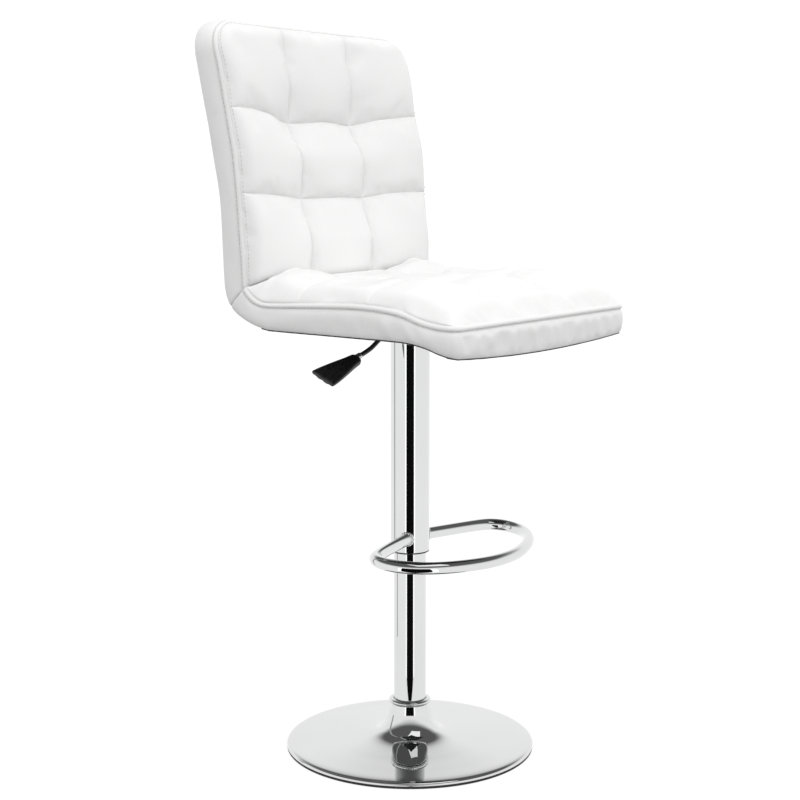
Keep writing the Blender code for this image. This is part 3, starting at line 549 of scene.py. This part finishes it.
class Cushion:
    """A sewn cushion: a closed skin in rings along the side view, with its face, side gussets and rear."""

    def __init__(self, name, rear, face, corner, cross_seams, levels, puff, rise, edge_radius, warp):
        self.name = name
        self.rear, self.face = Line(rear), Line(face)
        self.corner, self.cross, self.levels, self.warp = corner, cross_seams, levels, warp
        self.puff, self.rise, self.edge_radius = puff, rise, edge_radius
        length = self.face.length
        self.u = divisions([-HALF_WIDTH, -SEAM_X, SEAM_X, HALF_WIDTH], CELL, NEAR, ends=True)
        straight = divisions([0, *[s * length for s in cross_seams], length - corner], CELL, NEAR)
        turns = max(4, round(corner * 1.5 / CELL))
        turn = [math.pi / 2 * k / turns for k in range(1, turns + 1)]
        self.s = np.concatenate([straight, [length - corner * (1 - math.sin(a)) for a in turn]]) / length
        self.turn = np.concatenate([np.zeros(len(straight)), turn])
        self.width = HALF_WIDTH - corner * (1 - np.cos(self.turn))
        self.build()

    def columns_at(self, width):
        """The columns' places across a ring of the given half width."""
        beyond = (np.abs(self.u) - SEAM_X) * (width - SEAM_X) / (HALF_WIDTH - SEAM_X) + SEAM_X
        return np.where(np.abs(self.u) <= SEAM_X, self.u, np.sign(self.u) * beyond)

    def panel_at(self, s):
        """Which row of panels s is in, and how far along it from 0 to 1."""
        knots = [0, *self.cross, 1]
        i = min(int(np.searchsorted(knots, s, side="right")) - 1, len(knots) - 2)
        return i, (s - knots[i]) / (knots[i + 1] - knots[i])

    def warped(self, s, u):
        """Where a row runs at a column: the cross seams bow away from a straight line."""
        shifts = [0, *[np.interp(u / MM, *curve) for curve in self.warp], 0]
        i, t = self.panel_at(s)
        ease = smoothstep(t)
        return s + ((1 - ease) * shifts[i] + ease * shifts[i + 1]) * MM / self.face.length

    def face_height(self, row, u, width):
        """How far the face stands off the edge line at a row and the columns' places."""
        s = self.s[row]
        _, ty = self.panel_at(s)
        dy = min(abs(s - c) for c in self.cross) * self.face.length
        out = np.abs(u)
        tx = np.where(out < SEAM_X, 0.5 + u / (2 * SEAM_X), (out - SEAM_X) / (width - SEAM_X))
        dx = np.abs(out - SEAM_X)  # how far from the nearest long seam, as dy is from the nearest cross seam
        per_column = [table(self.levels[0], [level[k] for level in self.levels[1]], s) for k in range(4)]
        base = table([c * MM for c in COLUMNS], per_column, np.minimum(out, HALF_WIDTH))
        # the edges of the cushion stay nearly level, without a dip where a seam ends
        calm_x = np.where(out > SEAM_X, 1 - 0.8 * smoothstep(2 * tx - 1), 1)
        calm_y = 1 - 0.8 * float(smoothstep(2 * ty - 1)) if s > self.cross[-1] else 1
        swell = self.rise * (1 - calm_x * np.cos(np.pi * tx) ** 2 * calm_y * math.cos(math.pi * ty) ** 2)
        valley = (1 - np.exp(-dx / VALLEY)) * (1 - math.exp(-dy / VALLEY))
        valley = 1 - (1 - valley) * (0.45 + 0.55 * calm_x) * (0.3 + 0.7 * calm_y)
        fold = np.maximum(np.exp(-((dx / SEAM_SPREAD) ** 2)), math.exp(-((dy / SEAM_SPREAD) ** 2)))
        along_x = ripple([(x, s * self.face.length, 0) for x in u], PUCKER_SCALE, 3) * math.exp(-dy / PUCKER_TO)
        along_y = ripple([(x * 0.3, s * self.face.length, 1) for x in u], PUCKER_SCALE, 5) * np.exp(-dx / PUCKER_TO)
        off_seams = (1 - math.exp(-dy / PUCKER_FROM)) * (1 - np.exp(-dx / PUCKER_FROM))
        swell = swell + PUCKER * (along_x + along_y) * off_seams
        near = min(1, s * self.face.length / self.edge_radius[2])
        round_over = (self.rounded(width - out, *self.edge_radius[0]) * math.sqrt(1 - (1 - near) ** 2)
                      * self.rounded((1 - s) * self.face.length, *self.edge_radius[1]))
        return round_over * (base + swell + self.puff * valley - SEAM_DEPTH * fold) * MM

    @staticmethod
    def rounded(distance, tight, wide):
        """From 0 at an edge to 1 inside it: half the rise in the tight radius, the rest in the wide one."""
        return 1 - 0.5 * sum((1 - np.clip(distance / radius, 0, 1)) ** 2.2 for radius in (tight, wide))

    def build(self):
        """Fills self.points and self.rings, and notes which points are sewn down."""
        self.points, self.rings, self.sewn = [], [], []
        self.face_index, self.band_index, self.rear_index = [], [], []
        columns = len(self.u)
        for row, s in enumerate(self.s):
            u = self.columns_at(self.width[row])
            share = np.array([self.warped(s, x) for x in u])
            face, rear = self.face.point(share), self.rear.point(np.full(columns, s))
            lift = self.lift_direction(s)
            height = self.face_height(row, u, self.width[row])
            face = face + np.outer(self.crest(u, s), self.face.along(s))
            on_edge = np.abs(u) >= self.width[row] - 1e-6
            pulled = u - np.sign(u) * np.where(on_edge, EDGE_PULL, 0)
            top = np.stack([pulled, -(face[:, 0] + lift[0] * height), face[:, 1] + lift[1] * height], axis=1)
            on_seam = on_edge | np.isclose(np.abs(u), SEAM_X)
            on_seam = on_seam | np.any(np.isclose(s, self.cross)) | (row in (0, len(self.s) - 1))
            first = self.add(top, on_seam)
            self.face_index.append(first)
            right = self.side(row, top[-1], self.rear_point(u[-1], s, rear[-1], face[-1], self.width[row]), 1)
            under = np.array([self.rear_point(x, s, r, f, self.width[row]) for x, r, f in zip(u, rear, face)])
            second = self.add(under[::-1], np.ones(columns, bool))
            left = self.side(row, top[0], under[0], -1)
            self.rear_index.append(second[::-1])
            self.band_index.append((left, right))
            self.rings.append([*first, *right, *second, *left[::-1]])
        self.faces = skin(self.rings)
        self.close_end(0, -1)
        self.close_end(len(self.s) - 1, 1)

    def add(self, points, sewn):
        start = len(self.points)
        self.points += [Vector(p) for p in points]
        self.sewn += [bool(x) for x in sewn]
        return list(range(start, len(self.points)))

    def lift_direction(self, s):
        """The way the face swells at a row: square to it, but on the seat straight up beyond where the cushions
        meet."""
        here, ahead = self.face.point(max(0, s - 0.02)), self.face.point(min(1, s + 0.02))
        along = (ahead - here) / np.linalg.norm(ahead - here)
        square = np.array([along[1], -along[0]])
        if self.name == "seat":
            beyond = smoothstep((s - 0.02) / 0.1)
            square = np.array([0.0, 1.0]) * beyond - square * (1 - beyond)
        return square / np.linalg.norm(square)

    def rear_point(self, x, s, rear, face, width):
        """A point of the rear, tucked in a little away from the cushion's edges."""
        inward = face - rear
        inward = inward / np.linalg.norm(inward)
        edge = min(width - abs(x), (1 - s) * self.rear.length)
        tuck = 2.0 * MM * float(smoothstep((edge - 8 * MM) / (14 * MM)))
        place = rear + inward * tuck + self.crest(x, s) * self.rear.along(s)
        return np.array([x, -place[0], place[1] + self.bow(x, rear[0])])

    def crest(self, x, s):
        """The top edge of the back stands a little higher on the lever's side."""
        if self.name != "back":
            return np.zeros(np.shape(x))
        return (CREST[0] + CREST[1] * x) * MM * smoothstep((s - 0.72) / 0.28)

    def bow(self, x, forward):
        """The seat's lower front edge hangs lower in its middle than at its corners."""
        if self.name != "seat":
            return 0
        return BOW * ((x / HALF_WIDTH) ** 2 - 0.95) * float(smoothstep((forward - 0.13) / 0.11))

    def outward(self, row, side):
        """The way the gusset faces at a row."""
        s = self.s[row]
        along = self.face.point(min(1, s + 1e-3)) - self.face.point(max(0, s - 1e-3))
        along = along / np.linalg.norm(along)
        turn = self.turn[row]
        return np.array([side * math.cos(turn), -along[0] * math.sin(turn), along[1] * math.sin(turn)])

    def side(self, row, top, under, side):
        return self.add(*self.gusset_points(top, under, self.outward(row, side)))

    def gusset_points(self, top, under, out):
        """Points down the side between the edge seam and the rear's edge: the folded band, then the gusset."""
        depth = np.linalg.norm(under - top)
        way = (under - top) / depth
        points, sewn = [], []
        band = min(BAND, depth * 0.4)
        for share in BAND_SHARES:
            bulge = BAND_BULGE * math.sin(math.pi * share) ** 0.7 if share < 1 else -0.7 * MM
            points.append(top + way * band * share + out * (bulge + EDGE_PULL * share**0.5))
            sewn.append(True)
        for k in range(1, GUSSET_ROWS + 1):
            t = k / (GUSSET_ROWS + 1)
            place = top + way * (band + (depth - band) * t)
            crease = ripple([(place[0], place[1] - 0.35 * place[2], 0.25 * place[2])], CREASE_SCALE, 9)[0]
            # creases are strongest where the seat bends up to the back
            crease *= 0.35 + 2.1 * math.exp(-(((place[1] + 0.15) / (50 * MM)) ** 2))
            bulge = (GUSSET_BULGE * math.sin(math.pi * t) ** 0.6 + GUSSET_WAVE * crease * math.sin(math.pi * t)
                     + EDGE_PULL * (1 - t))
            points.append(place + out * bulge)
            sewn.append(False)
        return np.array(points), sewn

    def close_end(self, row, way):
        """The gusset across an end of the cushion, from its face to its rear. Way is -1 at the end where the
        cushions meet, where it stays flat and sewn, and 1 at the other."""
        face, rear = self.face_index[row], self.rear_index[row]
        left, right = self.band_index[row]
        along = self.face.point(1.0) - self.face.point(0.99)
        out = np.array([0, -along[0], along[1]]) / np.linalg.norm(along) * max(way, 0)
        grid = [[face[0], *left, rear[0]]]
        for k in range(1, len(face) - 1):
            top, under = np.array(self.points[face[k]]), np.array(self.points[rear[k]])
            points, sewn = self.gusset_points(top, under, out)
            grid.append([face[k], *self.add(points, sewn if way > 0 else [True] * len(sewn)), rear[k]])
        grid.append([face[-1], *right, rear[-1]])
        self.end_grid = grid
        for a, b in zip(grid, grid[1:]):
            for k in range(len(a) - 1):
                quad = (a[k], b[k], b[k + 1], a[k + 1])
                self.faces.append(quad if way > 0 else quad[::-1])


def inflate(obj, sewn, gusset):
    """Lets the skin swell like stuffed leather between its seams, by cloth simulation. The gusset's points are
    evened out afterwards."""
    before = np.array([v.co for v in obj.data.vertices])
    group = obj.vertex_groups.new(name="sewn")
    group.add([i for i, held in enumerate(sewn) if held], 1.0, "REPLACE")
    cloth = obj.modifiers.new("Cloth", "CLOTH")
    for setting, value in STUFFING.items():
        setattr(cloth.settings, setting, value)
    cloth.settings.vertex_group_mass = "sewn"
    cloth.settings.effector_weights.gravity = 0
    cloth.collision_settings.use_collision = False
    scene = bpy.context.scene
    for span in (cloth.point_cache, scene):
        span.frame_start, span.frame_end = 1, STUFFING_FRAMES
    for step in range(1, STUFFING_FRAMES + 1):
        scene.frame_set(step)
        bpy.context.view_layer.update()
    shape = obj.evaluated_get(bpy.context.evaluated_depsgraph_get()).to_mesh()
    after = np.array([v.co for v in shape.vertices])
    obj.modifiers.remove(cloth)
    scene.frame_set(1)
    moved = after - before
    edges = np.array([tuple(e.vertices) for e in obj.data.edges])
    joined = np.bincount(edges.ravel(), minlength=len(moved))[:, None]
    for _ in range(GUSSET_ROUNDS):
        around = np.zeros_like(moved)
        np.add.at(around, edges[:, 0], moved[edges[:, 1]])
        np.add.at(around, edges[:, 1], moved[edges[:, 0]])
        moved[gusset] = 0.5 * moved[gusset] + 0.5 * (around / joined)[gusset]
    size = np.linalg.norm(moved, axis=1, keepdims=True)
    limit = MOST_SWELL * np.tanh(size / MOST_SWELL) / np.maximum(size, 1e-9)
    after = before + moved * limit
    obj.data.vertices.foreach_set("co", after.astype(np.float32).ravel())
    obj.vertex_groups.remove(group)


def crease_seams(cushion, obj, strength):
    """Marks the sewn lines as creased edges, so that the subdivision keeps them crisp."""
    lines = []
    for row, face in enumerate(cushion.face_index):
        if np.any(np.isclose(cushion.s[row], cushion.cross)):
            lines.append(face)
    for k, u in enumerate(cushion.u):
        if np.isclose(abs(u), SEAM_X) or k in (0, len(cushion.u) - 1):
            lines.append([face[k] for face in cushion.face_index])
    lines.append(cushion.face_index[-1])
    band_end = len(BAND_SHARES) - 1
    for side in (0, 1):
        lines.append([pair[side][band_end] for pair in cushion.band_index])
    lines.append([row[band_end + 1] for row in cushion.end_grid])
    wanted = {frozenset(pair) for line in lines for pair in zip(line, line[1:])}
    creases = obj.data.attributes.new("crease_edge", "FLOAT", "EDGE")
    values = [strength if frozenset(e.vertices) in wanted else 0.0 for e in obj.data.edges]
    creases.data.foreach_set("value", values)


def stitch_row(path, outward, depth):
    """Short threads laid along a line of points, each sunk at its ends."""
    lengths = [0]
    for a, b in zip(path, path[1:]):
        lengths.append(lengths[-1] + (b - a).length)
    xs, outs = np.array(path), np.array(outward)

    def at(where, data):
        return Vector([float(np.interp(where, lengths, data[:, k])) for k in range(3)])

    parts = []
    count = int(lengths[-1] / STITCH_PITCH)
    for i in range(count):
        start = (i + 0.5) * STITCH_PITCH
        thread, radii = [], []
        for k in range(5):
            t = k / 4
            where = start + STITCH_LENGTH * t
            hump = math.sin(math.pi * t)
            thread.append(at(where, xs) + at(where, outs).normalized() * (THREAD_RADIUS * hump - depth))
            radii.append(THREAD_RADIUS * (0.55 + 0.45 * hump))
        parts.append(sweep(thread, radii, 6))
    return parts


def make_cushions():
    """The seat and the back, sewn, swollen, creased and subdivided. Puff and rise are in mm."""
    seat_face, back_face = Line(SEAT_TOP), Line(BACK_FRONT)
    seat_seams = [float(seat_face.share_at(v * MM, 0)) for v in (-34, 93)]
    back_seams = [float(back_face.share_at(z * MM, 1)) for z in (862, 982)]
    seat = Cushion("seat", UNDERSIDE, SEAT_TOP, 14 * MM, seat_seams, SEAT_LEVELS, 6.5, 5,
                   ((26 * MM, 95 * MM), (28 * MM, 52 * MM), 15 * MM), SEAT_WARP)
    back = Cushion("back", BACK_REAR, BACK_FRONT, 44 * MM, back_seams, BACK_LEVELS, 7, 9,
                   ((24 * MM, 24 * MM), (20 * MM, 20 * MM), 16 * MM), BACK_WARP)
    for cushion, name, nodes in ((seat, "seat_cushion", ["seat_foam", "seat_cover"]),
                                 (back, "back_cushion", ["back_foam", "back_cover"])):
        obj = mesh_object(name, cushion.points, cushion.faces, LEATHER)
        obj.data.shade_smooth()
        gusset = [i for pair in cushion.band_index for side in pair for i in side if not cushion.sewn[i]]
        inflate(obj, cushion.sewn, gusset)
        crease_seams(cushion, obj, 0.7)
        smooth = obj.modifiers.new("Smooth", "SUBSURF")
        smooth.levels = smooth.render_levels = 1
        attach(obj, "lift", "white_leather", nodes)
        add_stitching(cushion, obj)
    return seat, back


def add_stitching(cushion, obj):
    """Topstitching along the edge seam: down the band's lower edge, and on the back also on the face beside it."""
    co = [v.co.copy() for v in obj.data.vertices]
    middle = sum(co, Vector()) / len(co)
    low = len(BAND_SHARES) - 2
    band = [*[pair[0][low] for pair in cushion.band_index], *[row[low + 1] for row in cushion.end_grid][1:-1],
            *[pair[1][low] for pair in cushion.band_index][::-1]]
    face = [*[row[2] for row in cushion.face_index[:-1]], *cushion.face_index[-2][3:-3],
            *[row[-3] for row in cushion.face_index[:-1]][::-1]]
    points = [co[i] for i in band]
    parts = stitch_row(points, [outward_at(point - middle) for point in points], 0.15 * MM)
    if cushion.name == "back":
        normals = [obj.data.vertices[i].normal.copy() for i in face]
        parts += stitch_row([co[i] for i in face], normals, 0.1 * MM)
    add_piece(obj.name + "_stitching", *merged(parts), SHADE_PAINTED_THREAD, "lift", "white_leather")


def outward_at(place):
    """The way the gusset faces at a place measured from the cushion's middle."""
    if abs(place.x) > 0.92 * HALF_WIDTH:
        return Vector((place.x, 0, 0))
    return Vector((0, place.y, place.z))


# ---- rear panel and underside lining
def make_rear_panel(back):
    """The leather panel over the back's shell, lightly crowned, with a row of stitches round its edge."""
    length, columns = back.rear.length, 40

    def place(layer, along, across):
        s = (1 - PANEL_INSET / length) * along
        width = HALF_WIDTH - PANEL_INSET
        left = (1 - s) * length
        if left < back.corner:
            width -= back.corner - math.sqrt(max(0, back.corner**2 - (back.corner - left) ** 2))
        u = width * across
        rim = min(1, min(width - abs(u), left - PANEL_INSET + 2 * MM) / (12 * MM))
        crown = (0.6 + 2.4 * max(0, rim) ** 0.5) * MM if layer == 0 else -2.5 * MM
        ahead = back.rear.along(s)
        p = back.rear.point(s) + np.array([-ahead[1], ahead[0]]) * crown + back.crest(u, s) * ahead
        return u, -p[0], p[1]

    points, faces, border = slab(44, columns, place)
    panel = add_piece("back_rear_panel", points, faces, LEATHER, "lift", "white_leather", ["rear_cover"])
    line = [Vector(points[i]) for i in border[:-(columns - 1)]]
    parts = stitch_row(line, [Vector((0, 1, -0.2))] * len(line), 0.05 * MM)
    add_piece("back_panel_stitching", *merged(parts), SHADE_PAINTED_THREAD, "lift", "white_leather")


def make_lining(seat):
    """The black lining under the seat, stapled along its edge, with a slight sag inside it."""
    length = seat.rear.length

    def place(layer, along, across):
        s = LINING_START + (1 - LINING_INSET / length - LINING_START) * along
        p = seat.rear.point(s)
        width = float(np.interp(s, seat.s, seat.width)) - LINING_INSET
        u = width * across
        edge = min(width - abs(u), (s - LINING_START) * length, (1 - s) * length - LINING_INSET)
        wave = 0.35 * MM * noise.noise(Vector((u * 30, s * 12, 2.0)))
        hem = 1.3 * MM * (1 - float(smoothstep(edge / (14 * MM))))
        sag = 0.5 * MM * float(smoothstep(edge / (30 * MM))) if abs(u) > 95 * MM else 0.1 * MM
        drop = (0.35 * MM + hem + sag + abs(wave)) if layer == 0 else -1.2 * MM
        return u, -p[0], p[1] - drop + seat.bow(u, p[0])

    points, faces, border = slab(48, 52, place)
    add_piece("underside_lining", points, faces, LINING, "lift", "black_lining", ["dust_cover"])
    staples = []
    for at in range(2, len(border) - 2, 5):
        a, b = Vector(points[border[at]]), Vector(points[border[at + 1]])
        along = (b - a).normalized()
        inward = Vector((-a.x, -(a.y + 0.05), 0)).normalized() * 4 * MM
        start = a + inward - Vector((0, 0, 0.35 * MM)) - along * 5 * MM
        staples.append(sweep([start, start + along * 10 * MM], 0.45 * MM, 6))
    add_piece("lining_staples", *merged(staples), ZINC, "lift", "zinc_steel")


# ---- stage: floor, studio light, camera
def emission(name, strength):
    return Finish(name, (0, 0, 0), 1, Emission_Color=(1, 1, 1, 1), Emission_Strength=strength,
                  Specular_IOR_Level=0).material


def card(name, corners, material):
    """A studio card that only shows in reflections."""
    obj = mesh_object(name, corners, [tuple(range(len(corners)))], material)
    obj.visible_camera = obj.visible_diffuse = obj.visible_shadow = False
    obj.visible_transmission = obj.visible_volume_scatter = False


def upright(toward, distance, half, low, high):
    """Corners of an upright card at a distance from the column, square to the way toward it."""
    aside = Vector((-toward.y, toward.x, 0))
    at = [(-half, low), (half, low), (half, high), (-half, high)]
    return [toward * distance + aside * x + Vector((0, 0, z)) for x, z in at]


def flat(places):
    """Corners of a card lying on the floor, each as the distance from the column toward the camera's side and the
    distance aside of that way."""
    aside = Vector((-CAMERA_SIDE.y, CAMERA_SIDE.x, 0))
    return [CAMERA_SIDE * along + aside * across + Vector((0, 0, CARD_HEIGHT)) for along, across in places]


def make_floor():
    """A white floor. Surfaces lit by it get less of it than the eye and the chrome see."""
    finish = Finish("studio_floor", (0.2, 0.2, 0.2), 0.9, Specular_IOR_Level=0.0, Emission_Color=(1, 1, 1, 1))
    finish.vary_colour(finish.noise(3, 2), (0.195, 0.195, 0.195), (0.205, 0.205, 0.205))
    seen = finish.tree.nodes.new("ShaderNodeLightPath")
    glow = finish.tree.nodes.new("ShaderNodeMapRange")
    glow.inputs["To Min"].default_value = FLOOR_GLOW
    glow.inputs["To Max"].default_value = FLOOR_BOUNCE
    finish.tree.links.new(seen.outputs["Is Diffuse Ray"], glow.inputs["Value"])
    finish.tree.links.new(glow.outputs["Result"], finish.shader.inputs["Emission Strength"])
    half = 30
    corners = [(-half, -half, 0), (half, -half, 0), (half, half, 0), (-half, half, 0)]
    mesh_object("floor", corners, [(0, 1, 2, 3)], finish.material)


def make_world():
    """A plain white backdrop, soft light that is strongest from the front and above, and for the chrome a white
    surround under a dark ceiling that leans toward the side that the camera is on."""
    world = bpy.data.worlds.new("studio")
    bpy.context.scene.world = world
    world.use_nodes = True
    tree = world.node_tree
    direction = tree.nodes.new("ShaderNodeTexCoord").outputs["Generated"]

    def background(source=None):
        node = tree.nodes.new("ShaderNodeBackground")
        node.inputs["Color"].default_value = (1, 1, 1, 1)
        node.inputs["Strength"].default_value = BACKDROP
        if source is not None:
            tree.links.new(source, node.inputs["Strength"])
        return node.outputs["Background"]

    def mapped(value, low_at, high_at, low, high):
        node = tree.nodes.new("ShaderNodeMapRange")
        node.interpolation_type = "SMOOTHSTEP"
        for name, number in (("From Min", low_at), ("From Max", high_at), ("To Min", low), ("To Max", high)):
            node.inputs[name].default_value = number
        tree.links.new(value, node.inputs["Value"])
        return node.outputs["Result"]

    def toward(axis):
        node = tree.nodes.new("ShaderNodeVectorMath")
        node.operation = "DOT_PRODUCT"
        node.inputs[1].default_value = Vector(axis).normalized()
        tree.links.new(direction, node.inputs[0])
        return node.outputs["Value"]

    rays = tree.nodes.new("ShaderNodeLightPath")

    def chosen(ray, otherwise, when):
        node = tree.nodes.new("ShaderNodeMixShader")
        tree.links.new(rays.outputs[ray], node.inputs["Fac"])
        tree.links.new(otherwise, node.inputs[1])
        tree.links.new(when, node.inputs[2])
        return node.outputs["Shader"]

    light = background(mapped(toward(SKY_TOWARD), -1, 1, *SKY_LIGHT))
    mirrored = background(mapped(toward(CEILING_TOWARD), *CEILING_FROM, BACKDROP, CEILING))
    shown = chosen("Is Camera Ray", mirrored, background())
    tree.links.new(chosen("Is Diffuse Ray", shown, light), tree.nodes["World Output"].inputs["Surface"])


def make_stage():
    """The floor and the light, with cards for the chrome to mirror: on the floor a black wedge with a white one on
    each side of it, which make the dark line down the column, and a grey strip beside it."""
    make_floor()
    make_world()
    black, white = emission("black_card", BLACK_CARD), emission("white_card", WHITE_CARD)
    near, widest, far = 0.2, 0.34, 9.0
    stripe, line = 0.41, 0.56  # how far each way the black and the white cards reach, for each metre of distance
    card("card_dark", flat([(near, 0), (widest, -stripe * widest), (far, -stripe * far), (far, stripe * far),
                            (widest, stripe * widest)]), black)
    for name, side in (("left", -1), ("right", 1)):
        corners = ((widest, stripe), (widest, line), (far, line), (far, stripe))
        card(f"card_white_{name}", flat([(reach, side * share * reach) for reach, share in corners]), white)
    grey = emission("grey_card", GREY_CARD)
    card("card_edge", upright(GREY_SIDE, 0.55, 0.04, 0.02, 1.32), grey)

    light = bpy.data.lights.new("overhead_softbox", "AREA")
    light.shape = "RECTANGLE"
    light.size = light.size_y = SOFTBOX_SIZE
    light.energy = SOFTBOX_WATTS
    lamp = placed("overhead_softbox", light)
    lamp.location = SOFTBOX_PLACE
    lamp.rotation_euler = (Vector(SOFTBOX_AIM) - lamp.location).to_track_quat("-Z", "Y").to_euler()


def make_camera():
    data = bpy.data.cameras.new("camera")
    data.lens, data.sensor_width = LENS, SENSOR
    data.clip_end = 200
    camera = placed("camera", data)
    camera.location, camera.rotation_euler = CAMERA_PLACE, CAMERA_TURN
    bpy.context.scene.camera = camera


def dress_cad_nodes():
    """Each CAD node that still shows gets the procedural finish of its material slot."""
    for part in frame["record"]["subparts"]:
        obj = frame["nodes"][part["node"]]
        obj.data.materials.clear()
        obj.data.materials.append(BY_SLOT[part["material_slot"]])


bpy.context.scene.view_settings.view_transform = "Standard"
dress_cad_nodes()
make_camera()
make_base()
make_tubes()
make_footrest()
make_lever()
SEAT, BACK = make_cushions()
make_rear_panel(BACK)
make_lining(SEAT)
make_stage()
